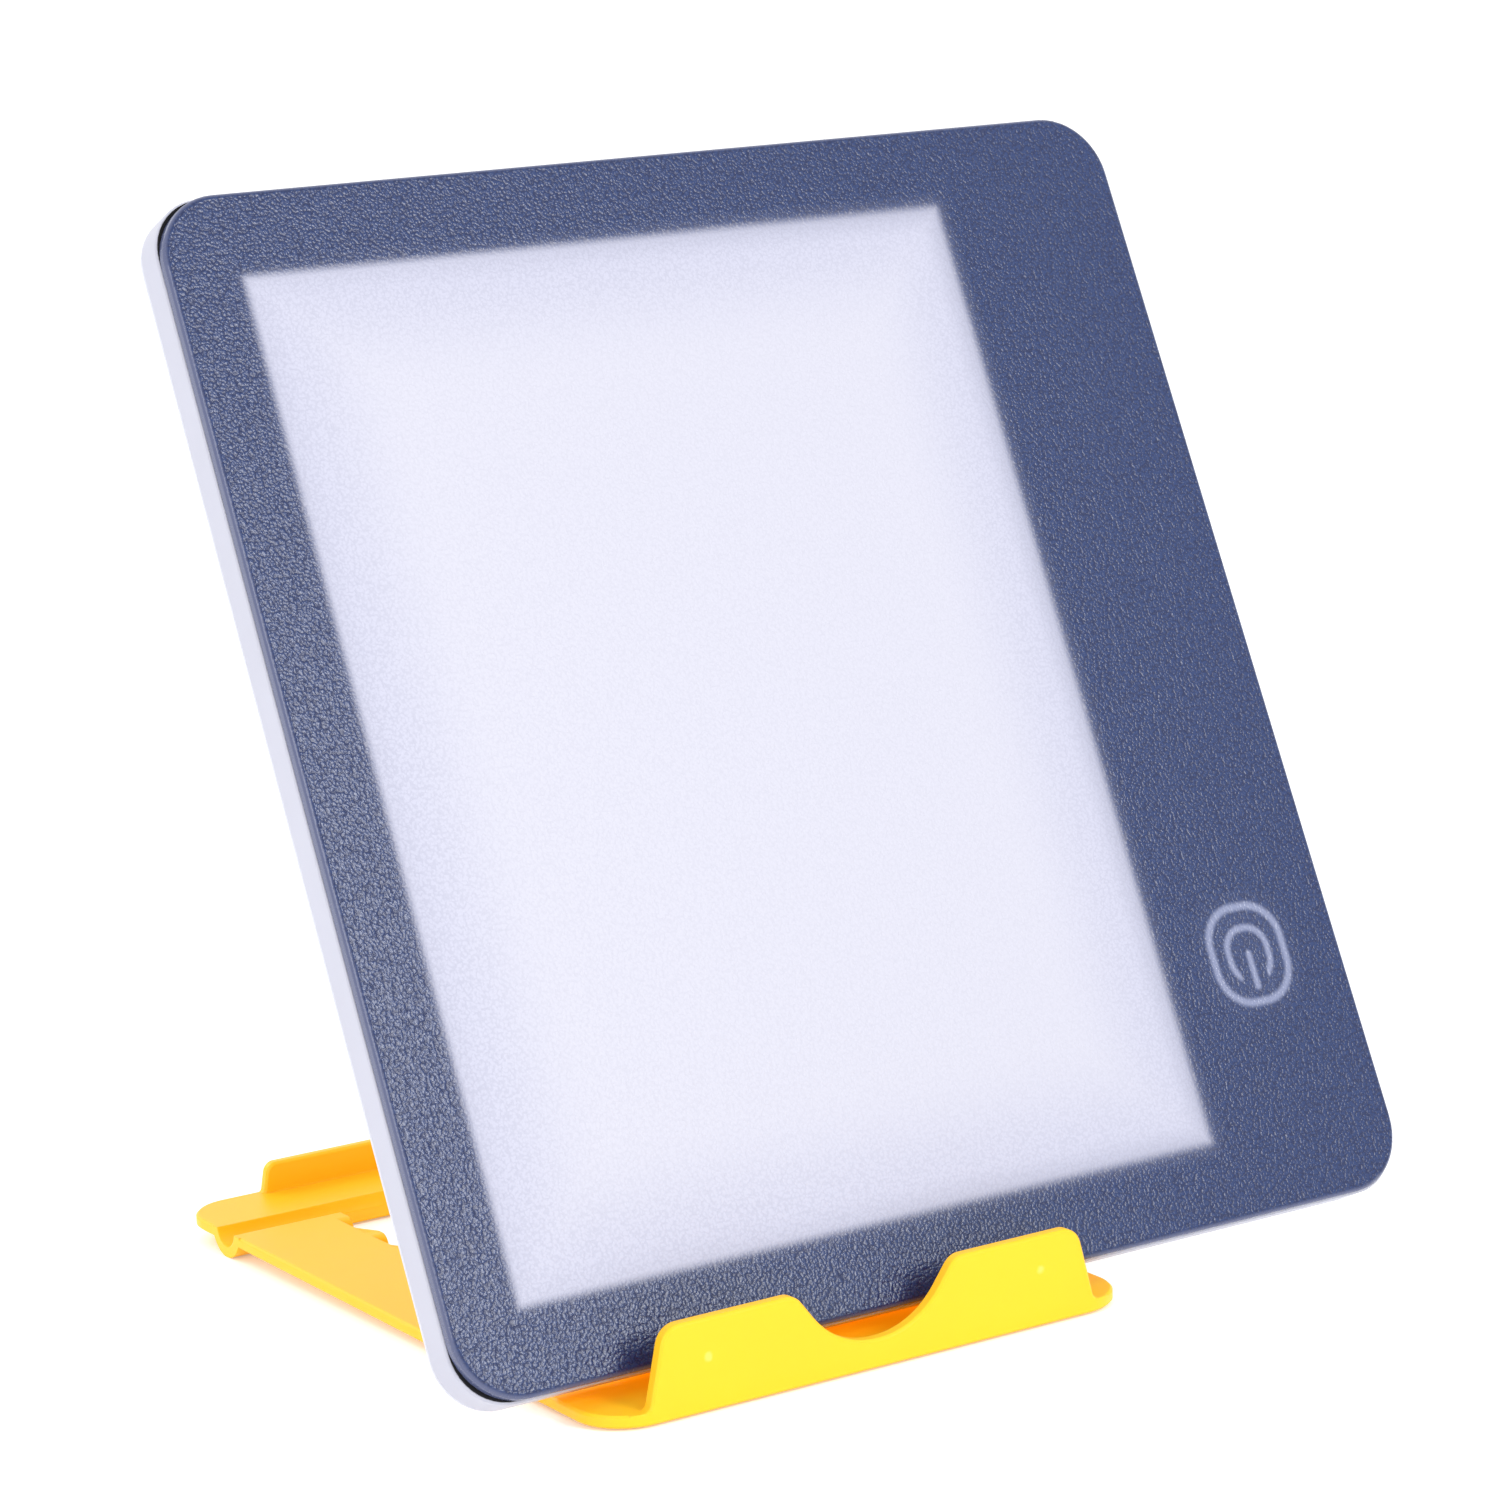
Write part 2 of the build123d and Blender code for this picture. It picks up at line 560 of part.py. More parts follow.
def rail_notches():
    """Seats for the foot bar: a ramp down towards the rear, ended by each tooth's steep face."""
    half = WINDOW_WIDTH / 2
    notches = []
    for face in NOTCHES:
        nose = Pos(face + NOTCH_NOSE, -NOTCH_NOSE) * Circle(NOTCH_NOSE)
        seat = Polygon(
            (face - NOTCH_RAMP, 0), (face, -NOTCH_DEPTH),
            (face, CUT_OVER), (face - NOTCH_RAMP, CUT_OVER), align=None,
        )
        over = Pos(face, -NOTCH_DEPTH) * Rectangle(
            NOTCH_NOSE, NOTCH_DEPTH, align=(Align.MIN, Align.MIN)
        )
        profile = seat + (over - nose)
        notches.append(section_x(profile, (half - CUT_OVER, half + NOTCH_WIDTH)))
    return both_sides(Part() + notches)


def base_ears():
    """Bearing blocks for the hinge pin, one on each rail."""
    inner = WINDOW_WIDTH / 2
    x = (inner, inner + EAR_WIDTH)
    ear = rod(x, HINGE_AT, HINGE_UP, KNUCKLE_RADIUS)
    width = (HINGE_AT - KNUCKLE_RADIUS, HINGE_AT + KNUCKLE_RADIUS)
    return both_sides(ear + span(x, width, (-PLATE_T / 2, HINGE_UP)))


def make_stand_base():
    """Whole base in its own level frame, except for the recesses of the front feet."""
    outer, slot = base_trough()
    base = base_sheet() + outer - slot
    base = base + front_lip() + root_fillet() + rear_lip()
    base -= base_window()
    base -= rail_notches()
    base += base_ears()
    reach = WINDOW_WIDTH / 2 + EAR_WIDTH + CUT_OVER
    return base - rod((-reach, reach), HINGE_AT, HINGE_UP, PIN_RADIUS + PIN_FIT)


def make_base_hinge_pin():
    reach = WINDOW_WIDTH / 2 + EAR_WIDTH - PIN_RECESS
    return rod((-reach, reach), 0, 0, PIN_RADIUS)


# ================================================================ stand: backrest and prop
def make_backrest():
    """Panel drawn flat: Y runs up it from the hinge axis, Z points to the lamp."""
    half = PANEL_WIDTH / 2
    skin = slab(rounded((-half, half), (-PANEL_FOOT, PANEL_TOP), PANEL_CORNER), PANEL_REAR, PANEL_FRONT)
    inner = half - PANEL_RIB_T
    ring = rounded((-half, half), (-PANEL_FOOT, PANEL_TOP), PANEL_CORNER)
    hollow_y = (PANEL_CORNER, PANEL_TOP - PANEL_RIB_T)
    ring -= rounded((-inner, inner), hollow_y, PANEL_CORNER - PANEL_RIB_T)
    below = (-PANEL_FOOT - CUT_OVER, 2 * PANEL_CORNER)
    ring -= rounded((-half - CUT_OVER, half + CUT_OVER), below, PANEL_RIB_T)
    panel = skin + slab(ring, PANEL_REAR - PANEL_RIB, PANEL_REAR)
    finger = Pos(0, PANEL_TOP + FINGER_RADIUS / 3) * Circle(FINGER_RADIUS)
    panel -= slab(finger, PANEL_REAR - PANEL_RIB - CUT_OVER, PANEL_FRONT + CUT_OVER)
    barrel_half = WINDOW_WIDTH / 2 - SIDE_GAP
    panel += rod((-barrel_half, barrel_half), 0, 0, KNUCKLE_RADIUS)
    web_y = (-PANEL_FOOT, KNUCKLE_RADIUS)
    panel += span((-barrel_half, barrel_half), web_y, (0, PANEL_REAR + PANEL_T / 2))
    lug_x = (LUG_INNER, LUG_OUTER)
    lug = rod(lug_x, PROP_LENGTH, 0, KNUCKLE_RADIUS)
    lug_y = (PROP_LENGTH - KNUCKLE_RADIUS, PROP_LENGTH + KNUCKLE_RADIUS)
    panel += both_sides(lug + span(lug_x, lug_y, (0, PANEL_REAR + PANEL_T / 2)))
    panel -= rod((-half, half), 0, 0, PIN_RADIUS + PIN_RUN)
    return panel - rod((-half, half), PROP_LENGTH, 0, PIN_RADIUS + PIN_FIT)


def make_backrest_pads():
    length, width = PAD_SIZE
    pads = []
    for middle in PAD_AT:
        outline = rounded((-length / 2, length / 2), (middle - width / 2, middle + width / 2), PAD_CORNER)
        pads.append(slab(outline, PANEL_FRONT, PAD_FRONT))
    return Compound(pads)


def make_prop_hinge_pin():
    reach = LUG_OUTER - PIN_RECESS
    return rod((-reach, reach), PROP_LENGTH, 0, PIN_RADIUS)


def make_prop():
    """Leg drawn flat: Y runs from its hinge axis to the foot bar."""
    foot = PROP_FOOT_WIDTH / 2
    plate = Polygon(
        (-PROP_HALF, 0), (PROP_HALF, 0), (foot, PROP_LENGTH), (-foot, PROP_LENGTH), align=None
    )
    length, width = PROP_HOLE[1], PROP_HOLE[0]
    hole_y = (PROP_LENGTH / 2 - length / 2, PROP_LENGTH / 2 + length / 2)
    plate -= rounded((-width / 2, width / 2), hole_y, PROP_HOLE_CORNER)
    prop = slab(plate, -PROP_T / 2, PROP_T / 2)
    prop += rod((-PROP_HALF, PROP_HALF), 0, 0, KNUCKLE_RADIUS)
    reach = WINDOW_WIDTH / 2 + FOOT_OVERHANG
    prop += rod((-reach, reach), PROP_LENGTH, 0, FOOT_RADIUS)
    return prop - rod((-foot, foot), 0, 0, PIN_RADIUS + PIN_RUN)


# ================================================================ placing
def table_tilt():
    """Angle between the base plate and the table that it and the trough's floor stand on."""
    ahead = TROUGH_AT + FRONT_EDGE
    above = TROUGH_UP + PLATE_T + FRONT_CLEARANCE
    reach = (ahead ** 2 + above ** 2) ** 0.5
    return degrees(asin((TROUGH_RADIUS + TROUGH_WALL) / reach) - atan2(above, ahead))


def level():
    """Turns the stand's frame onto the table and brings the object's middle to the origin."""
    tilt = table_tilt()
    low = -FRONT_EDGE * sin(radians(tilt)) - (PLATE_T + FRONT_CLEARANCE) * cos(radians(tilt))
    middle = (FLANGE_END - FRONT_EDGE) / 2
    return Pos(-LAMP_WIDTH / 2, -middle, -low) * Rot(tilt, 0, 0)


def stand_place():
    return level() * Pos(STAND_CENTRE, 0, 0)


def panel_place():
    return stand_place() * Pos(0, HINGE_AT, HINGE_UP) * Rot(PANEL_ANGLE, 0, 0)


def prop_place():
    rise = Pos(0, HINGE_AT, HINGE_UP) * Rot(PANEL_ANGLE, 0, 0) * Pos(0, PROP_LENGTH, 0)
    return stand_place() * rise * Rot(-2 * PANEL_ANGLE, 0, 0)


def lamp_place():
    """The lamp stands on its rounded rear edge, just clear of the plate."""
    rounding = min(REAR_ROUND, REAR_RIM * 0.75)
    lift = (LAMP_GAP - rounding * (sin(LEAN) + cos(LEAN) - 1)) / sin(LEAN)
    return level() * Rot(PANEL_ANGLE, 0, 0) * Pos(0, lift, 0)


def foot_places():
    """Centres of the front feet, under the base plate's front corners."""
    side = STAND_WIDTH / 2 - FRONT_FOOT_INSET
    points = [Pos(x, FRONT_FOOT_BACK - FRONT_EDGE, -PLATE_T) for x in (-side, side)]
    places = [(stand_place() * point).position for point in points]
    return [(place.X, place.Y) for place in places]


def foot_discs(radius, low):
    discs = [slab(Pos(*place) * Circle(radius), low, FRONT_FOOT_T) for place in foot_places()]
    return discs


def build():
    """Every node in its place at rest."""
    lamp = {
        "front_cover": make_front_cover(),
        "border_mask": make_border_mask(),
        "cover_gasket": make_cover_gasket(),
        "side_frame": make_side_frame(),
        "rear_cover": make_rear_cover(),
        "rear_screws": make_rear_screws(),
        "reflector_sheet": guide_sheet(STACK_Z, REFLECTOR_T),
        "light_guide": guide_sheet(GUIDE_Z, GUIDE_T),
        "diffuser_sheet": guide_sheet(DIFFUSER_Z, DIFFUSER_T),
        "prism_sheet": guide_sheet(PRISM_Z, PRISM_T),
        "led_board": make_led_board(),
        "led_chips": make_led_chips(),
        "led_ribbon": make_led_ribbon(),
        "control_board": make_control_board(),
        "driver_chip": board_part(CHIP_SIZE, CHIP_T, -1, 1),
        "power_inductor": board_part(INDUCTOR_SIZE, INDUCTOR_T, 1, 1),
        "filter_capacitors": make_filter_capacitors(),
        "socket_shell": make_socket_shell(),
        "socket_tongue": make_socket_tongue(),
        "touch_electrode": make_touch_electrode(),
        "touch_contact": make_touch_contact(),
    }
    nodes = {name: lamp_place() * shape for name, shape in lamp.items()}
    recesses = foot_discs(FRONT_FOOT_RADIUS + FRONT_FOOT_GAP, -CUT_OVER)
    nodes["stand_base"] = stand_place() * make_stand_base() - recesses
    nodes["front_feet"] = Compound(foot_discs(FRONT_FOOT_RADIUS, 0))
    hinge = Pos(0, HINGE_AT, HINGE_UP)
    nodes["base_hinge_pin"] = stand_place() * hinge * make_base_hinge_pin()
    nodes["backrest"] = panel_place() * make_backrest()
    nodes["backrest_pads"] = panel_place() * make_backrest_pads()
    nodes["prop_hinge_pin"] = panel_place() * make_prop_hinge_pin()
    nodes["prop"] = prop_place() * make_prop()
    return nodes


def main():
    os.makedirs("parts", exist_ok=True)
    for name, shape in build().items():
        shape.label = name
        export_step(shape, f"parts/{name}.step")


main()
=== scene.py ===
"""Light therapy lamp on a folding stand: finishes, floor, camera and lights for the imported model.

Every object is in metres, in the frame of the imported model: X to the right, Y to the rear, Z up, the
table at Z = 0. Patterns on the lamp are laid out in the lamp's own plane, in millimetres, with X to the
right, Y up the face and Z out of the front.
"""

from __future__ import annotations

import json
import logging
import math
from dataclasses import dataclass, field
from enum import Enum
from functools import cached_property
from typing import Any

import bmesh
import bpy
import numpy as np
from mathutils import Matrix, Vector

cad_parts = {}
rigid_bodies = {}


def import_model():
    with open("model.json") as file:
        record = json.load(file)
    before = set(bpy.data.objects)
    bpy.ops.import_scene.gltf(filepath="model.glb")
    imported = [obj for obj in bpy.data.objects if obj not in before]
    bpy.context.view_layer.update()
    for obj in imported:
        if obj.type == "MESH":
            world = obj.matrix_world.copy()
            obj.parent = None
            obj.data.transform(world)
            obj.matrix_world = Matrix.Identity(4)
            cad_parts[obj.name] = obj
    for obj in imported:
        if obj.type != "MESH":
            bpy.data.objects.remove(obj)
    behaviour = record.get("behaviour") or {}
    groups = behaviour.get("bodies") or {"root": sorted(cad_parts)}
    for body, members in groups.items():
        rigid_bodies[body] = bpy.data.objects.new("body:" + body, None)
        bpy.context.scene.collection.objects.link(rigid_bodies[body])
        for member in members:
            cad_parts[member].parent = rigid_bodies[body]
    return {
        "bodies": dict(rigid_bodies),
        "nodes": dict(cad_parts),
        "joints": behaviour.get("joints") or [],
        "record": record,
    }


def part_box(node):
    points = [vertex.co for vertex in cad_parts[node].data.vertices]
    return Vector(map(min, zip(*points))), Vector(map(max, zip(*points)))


LOG = logging.getLogger("light_therapy_lamp")
MM = 0.001
MERGE_DISTANCE = 1e-7
NOISE_MIDDLE = 0.5

Rgb = tuple[float, float, float]
Point = tuple[float, float, float]
Pair = tuple[float, float]
Socket = bpy.types.NodeSocket

BLACK: Rgb = (0.0, 0.0, 0.0)
WHITE: Rgb = (1.0, 1.0, 1.0)


def linear(red: int, green: int, blue: int) -> Rgb:
    """A display colour from 0 to 255 as linear light.

    Args:
        red, green, blue: the display values.

    Returns:
        The three linear values from 0 to 1.
    """
    def channel(value: int) -> float:
        share = value / 255
        return share / 12.92 if share <= 0.04045 else ((share + 0.055) / 1.055) ** 2.4

    return channel(red), channel(green), channel(blue)


# ---------------------------------------------------------------- shader trees
class ShaderTree:
    """Adds and links the nodes of one material or node group."""

    def __init__(self, tree: bpy.types.NodeTree) -> None:
        """Starts on an empty tree."""
        self.tree = tree

    def add(self, kind: str, **settings: Any) -> bpy.types.Node:
        """Adds a node.

        Args:
            kind: the node's type, without "ShaderNode".
            settings: properties of the node.

        Returns:
            The new node.
        """
        node = self.tree.nodes.new("ShaderNode" + kind)
        for name, value in settings.items():
            setattr(node, name, value)
        return node

    def feed(self, node: bpy.types.Node, **values: Any) -> bpy.types.Node:
        """Sets or links a node's inputs.

        Args:
            node: the node.
            values: input names with _ for a space, each with a socket to link or a value to set.

        Returns:
            The same node.
        """
        for name, value in values.items():
            self.put(node.inputs[name.replace("_", " ")], value)
        return node

    def put(self, target: Socket, value: Any) -> None:
        """Links a socket, or sets a plain value, on an input.

        Args:
            target: the input.
            value: the socket or the value. A colour may leave out its fourth part.
        """
        if isinstance(value, bpy.types.NodeSocket):
            self.tree.links.new(value, target)
        elif isinstance(value, tuple) and len(value) == 3 and target.type == "RGBA":
            target.default_value = (*value, 1.0)
        else:
            target.default_value = value

    def math(self, operation: str, *values: Any, clamp: bool = False) -> Socket:
        """One Math node on up to three values.

        Args:
            operation: the Math node's operation.
            values: sockets or numbers.
            clamp: keep the result between 0 and 1.

        Returns:
            The result's socket.
        """
        node = self.add("Math", operation=operation, use_clamp=clamp)
        for target, value in zip(node.inputs, values):
            self.put(target, value)
        return node.outputs[0]

    def ramp(self, value: Any, low: Any, high: Any, to_low: Any = 0.0, to_high: Any = 1.0) -> Socket:
        """A smooth step from one value to another between two limits.

        Args:
            value: the socket that is mapped.
            low, high: where the step starts and ends.
            to_low, to_high: the results there.

        Returns:
            The result's socket.
        """
        node = self.add("MapRange", interpolation_type="SMOOTHSTEP")
        for target, given in zip(node.inputs, (value, low, high, to_low, to_high)):
            self.put(target, given)
        return node.outputs[0]

    def mix(self, share: Any, first: Any, second: Any) -> Socket:
        """Mixes two colours.

        Args:
            share: how much of the second.
            first, second: colours or sockets.

        Returns:
            The mixed colour's socket.
        """
        node = self.add("Mix", data_type="RGBA")
        self.put(node.inputs[0], share)
        self.put(node.inputs[6], first)
        self.put(node.inputs[7], second)
        return node.outputs[2]

    def split(self, vector: Socket) -> tuple[Socket, Socket, Socket]:
        """The three numbers of a vector.

        Args:
            vector: the vector's socket.

        Returns:
            The sockets of X, Y and Z.
        """
        node = self.add("SeparateXYZ")
        self.put(node.inputs[0], vector)
        return node.outputs[0], node.outputs[1], node.outputs[2]

    def noise(self, vector: Any, scale: Any, detail: float = 2.0, rough: float = 0.5) -> bpy.types.Node:
        """A noise texture on a vector.

        Args:
            vector: the coordinates.
            scale: how often it repeats along one unit of them.
            detail: how many finer layers it adds.
            rough: how strong each layer is against the one before.

        Returns:
            The texture node.
        """
        node = self.add("TexNoise")
        return self.feed(node, Vector=vector, Scale=scale, Detail=detail, Roughness=rough)

    def bump(self, height: Any, depth: float, **values: Any) -> Socket:
        """A normal bent by a height map.

        Args:
            height: the map, from 0 to 1.
            depth: what one stands for, in metres.
            values: further inputs of the Bump node.

        Returns:
            The normal's socket.
        """
        node = self.add("Bump")
        return self.feed(node, Height=height, Strength=1.0, Distance=depth, **values).outputs[0]

    def use(self, group: bpy.types.NodeTree, **values: Any) -> bpy.types.Node:
        """Places a node group.

        Args:
            group: the group's tree.
            values: its inputs, named with _ for a space.

        Returns:
            The group node.
        """
        node = self.add("Group", node_tree=group)
        return self.feed(node, **values)


class SocketKind(Enum):
    """Socket types of a node group's interface."""

    NUMBER = "NodeSocketFloat"
    VECTOR = "NodeSocketVector"


@dataclass
class GroupShop:
    """Builds each shared node group on its first use and keeps it.

    warp_rate, warp_push and fine_rate are measured in pebble cells, flow_rate and rub_rate per metre.
    The ranges say where a mask starts and ends: on the flow noise, on the turn between two normals, on
    the share of open light and on how far a face looks up. The rest are plain shares.
    """

    warp_rate: float = 0.55
    warp_push: float = 1.5
    cell_blend: float = 0.35
    dome_drop: float = 1.5
    dome_share: float = 0.7
    fine_rate: float = 1.9
    fine_share: float = 0.3
    flow_rate: float = 60.0
    flow_share: float = 0.6
    rub_rate: float = 320.0
    rub_share: float = 0.4
    flow_range: Pair = (0.3, 0.7)
    turned_range: Pair = (0.99, 0.75)
    closed_range: Pair = (0.5, 0.1)
    rising_range: Pair = (-0.4, 0.1)
    rays: int = 6

    def new(
        self, name: str, inputs: dict[str, SocketKind], outputs: dict[str, SocketKind]
    ) -> tuple[ShaderTree, bpy.types.Node, bpy.types.Node]:
        """Opens a new group.

        Args:
            name: the group's name.
            inputs, outputs: its sockets.

        Returns:
            The tree, its input node and its output node.
        """
        tree = bpy.data.node_groups.new(name, "ShaderNodeTree")
        for label, kind in inputs.items():
            tree.interface.new_socket(name=label, in_out="INPUT", socket_type=kind.value)
        for label, kind in outputs.items():
            tree.interface.new_socket(name=label, in_out="OUTPUT", socket_type=kind.value)
        start = tree.nodes.new("NodeGroupInput")
        end = tree.nodes.new("NodeGroupOutput")
        return ShaderTree(tree), start, end

    @cached_property
    def pebble_grain(self) -> bpy.types.NodeTree:
        """Raised pebbles with creases between them.

        Height falls with the square of the smooth distance to the nearest cell centre, on
        coordinates that a coarser noise pushes about, and a finer noise adds a little to it.

        Returns:
            The group: Vector and Cell in, Height out.
        """
        number, vector = SocketKind.NUMBER, SocketKind.VECTOR
        t, start, end = self.new("pebble_grain", {"Vector": vector, "Cell": number}, {"Height": number})
        place, cell = start.outputs["Vector"], start.outputs["Cell"]
        rate = t.math("DIVIDE", 1.0, cell)
        warp = t.noise(place, t.math("MULTIPLY", rate, self.warp_rate), detail=2.0)
        centred = t.add("VectorMath", operation="SUBTRACT")
        t.put(centred.inputs[0], warp.outputs["Color"])
        centred.inputs[1].default_value = (NOISE_MIDDLE,) * 3
        push = t.add("VectorMath", operation="SCALE")
        t.put(push.inputs[0], centred.outputs[0])
        t.put(push.inputs["Scale"], t.math("MULTIPLY", cell, self.warp_push))
        moved = t.add("VectorMath", operation="ADD")
        t.put(moved.inputs[0], place)
        t.put(moved.inputs[1], push.outputs[0])
        cells = t.add("TexVoronoi", feature="SMOOTH_F1")
        t.feed(cells, Vector=moved.outputs[0], Scale=rate, Smoothness=self.cell_blend, Randomness=1.0)
        reach = cells.outputs["Distance"]
        dome = t.math("MULTIPLY_ADD", t.math("MULTIPLY", reach, reach), -self.dome_drop, 1.0)
        fine = t.noise(moved.outputs[0], t.math("MULTIPLY", rate, self.fine_rate), detail=3.0, rough=0.6)
        bits = t.math("MULTIPLY", fine.outputs[0], self.fine_share)
        t.put(end.inputs["Height"], t.math("MULTIPLY_ADD", dome, self.dome_share, bits))
        return t.tree

    @cached_property
    def soft_edge(self) -> bpy.types.NodeTree:
        """Rounds the shading of sharp edges and finds them.

        The edge mask is how far the rounded normal turns from the face's own.

        Returns:
            The group: Radius in, Normal and Edge out.
        """
        number, vector = SocketKind.NUMBER, SocketKind.VECTOR
        t, start, end = self.new("soft_edge", {"Radius": number}, {"Normal": vector, "Edge": number})
        bevel = t.add("Bevel", samples=self.rays)
        t.put(bevel.inputs["Radius"], start.outputs["Radius"])
        surface = t.add("NewGeometry")
        turn = t.add("VectorMath", operation="DOT_PRODUCT")
        t.put(turn.inputs[0], bevel.outputs[0])
        t.put(turn.inputs[1], surface.outputs["Normal"])
        t.put(end.inputs["Normal"], bevel.outputs[0])
        t.put(end.inputs["Edge"], t.ramp(turn.outputs["Value"], *self.turned_range))
        return t.tree

    @cached_property
    def shelter(self) -> bpy.types.NodeTree:
        """Finds corners and gaps that open light hardly reaches, on faces that don't look down.

        Returns:
            The group: Reach in, Mask out, one in the deepest places.
        """
        number = SocketKind.NUMBER
        t, start, end = self.new("shelter", {"Reach": number}, {"Mask": number})
        open_light = t.add("AmbientOcclusion", samples=self.rays)
        t.put(open_light.inputs["Distance"], start.outputs["Reach"])
        deep = t.ramp(open_light.outputs["AO"], *self.closed_range)
        _, _, rise = t.split(t.add("NewGeometry").outputs["Normal"])
        t.put(end.inputs["Mask"], t.math("MULTIPLY", deep, t.ramp(rise, *self.rising_range)))
        return t.tree

    @cached_property
    def moulded_skin(self) -> bpy.types.NodeTree:
        """Fine texture and uneven gloss of a moulded surface.

        Height is a fine noise, and Gloss shifts a base roughness by two broader noises, as slow flow
        marks and handling leave it.

        Returns:
            The group: Vector, Grain, Roughness and Spread in, Height, Gloss and Tone out.
        """
        number, vector = SocketKind.NUMBER, SocketKind.VECTOR
        inputs = {"Vector": vector, "Grain": number, "Roughness": number, "Spread": number}
        outputs = {"Height": number, "Gloss": number, "Tone": number}
        t, start, end = self.new("moulded_skin", inputs, outputs)
        place = start.outputs["Vector"]
        rate = t.math("DIVIDE", 1.0, start.outputs["Grain"])
        fine = t.noise(place, rate, detail=3.0, rough=0.6)
        t.put(end.inputs["Height"], fine.outputs[0])
        flow = t.noise(place, self.flow_rate, detail=3.0, rough=0.55)
        rub = t.noise(place, self.rub_rate, detail=2.0)
        slow = t.math("MULTIPLY", flow.outputs[0], self.flow_share)
        both = t.math("MULTIPLY_ADD", rub.outputs[0], self.rub_share, slow)
        centred = t.math("SUBTRACT", both, NOISE_MIDDLE)
        shift = t.math("MULTIPLY", centred, start.outputs["Spread"])
        t.put(end.inputs["Gloss"], t.math("ADD", start.outputs["Roughness"], shift, clamp=True))
        t.put(end.inputs["Tone"], t.ramp(flow.outputs[0], *self.flow_range))
        return t.tree

    @cached_property
    def lamp_plane(self) -> bpy.types.NodeTree:
        """Turns a place in the model's frame into millimetres on the lamp's face.

        Returns:
            The group: Vector, Origin and Turn in, Vector out.
        """
        vector = SocketKind.VECTOR
        inputs = {"Vector": vector, "Origin": vector, "Turn": vector}
        t, start, end = self.new("lamp_plane", inputs, {"Vector": vector})
        turn = t.add("Mapping", vector_type="TEXTURE")
        t.put(turn.inputs["Vector"], start.outputs["Vector"])
        t.put(turn.inputs["Location"], start.outputs["Origin"])
        t.put(turn.inputs["Rotation"], start.outputs["Turn"])
        turn.inputs["Scale"].default_value = (MM, MM, MM)
        t.put(end.inputs["Vector"], turn.outputs[0])
        return t.tree

    @cached_property
    def soft_box(self) -> bpy.types.NodeTree:
        """Signed distance to a rounded rectangle in the lamp's plane.

        With q as the distance past each half side less the corner radius, the result is the length of
        q's positive part, plus its larger part where both are negative, less the radius.

        Returns:
            The group: Vector, Centre, Half and Corner in, Distance out.
        """
        number, vector = SocketKind.NUMBER, SocketKind.VECTOR
        inputs = {"Vector": vector, "Centre": vector, "Half": vector, "Corner": number}
        t, start, end = self.new("soft_box", inputs, {"Distance": number})
        away = t.add("VectorMath", operation="SUBTRACT")
        t.put(away.inputs[0], start.outputs["Vector"])
        t.put(away.inputs[1], start.outputs["Centre"])
        x, y, _ = t.split(away.outputs[0])
        half_x, half_y, _ = t.split(start.outputs["Half"])
        corner = start.outputs["Corner"]
        past_x = t.math("ADD", t.math("SUBTRACT", t.math("ABSOLUTE", x), half_x), corner)
        past_y = t.math("ADD", t.math("SUBTRACT", t.math("ABSOLUTE", y), half_y), corner)
        out_x = t.math("MAXIMUM", past_x, 0.0)
        out_y = t.math("MAXIMUM", past_y, 0.0)
        squares = t.math("MULTIPLY_ADD", out_x, out_x, t.math("MULTIPLY", out_y, out_y))
        inside = t.math("MINIMUM", t.math("MAXIMUM", past_x, past_y), 0.0)
        reach = t.math("ADD", t.math("SQRT", squares), inside)
        t.put(end.inputs["Distance"], t.math("SUBTRACT", reach, corner))
        return t.tree


GROUPS = GroupShop()


# ---------------------------------------------------------------- finishes
@dataclass(frozen=True)
class Finish:
    """A named procedural material."""

    name: str

    def tree(self) -> tuple[bpy.types.Material, ShaderTree, bpy.types.Node, Socket]:
        """Opens the material.

        Returns:
            The material, its tree, its Principled shader and the object coordinates.
        """
        material = bpy.data.materials.new(self.name)
        material.use_nodes = True
        t = ShaderTree(material.node_tree)
        shader = material.node_tree.nodes["Principled BSDF"]
        place = t.add("TexCoord").outputs["Object"]
        return material, t, shader, place

    def build(self) -> bpy.types.Material:
        """Makes the material. Each finish fills this in."""
        raise NotImplementedError

    def dress(self, *names: str) -> None:
        """Gives this finish to CAD nodes.

        Args:
            names: the nodes' names.
        """
        material = self.build()
        for name in names:
            for place in FRAME["nodes"][name].material_slots:
                place.material = material


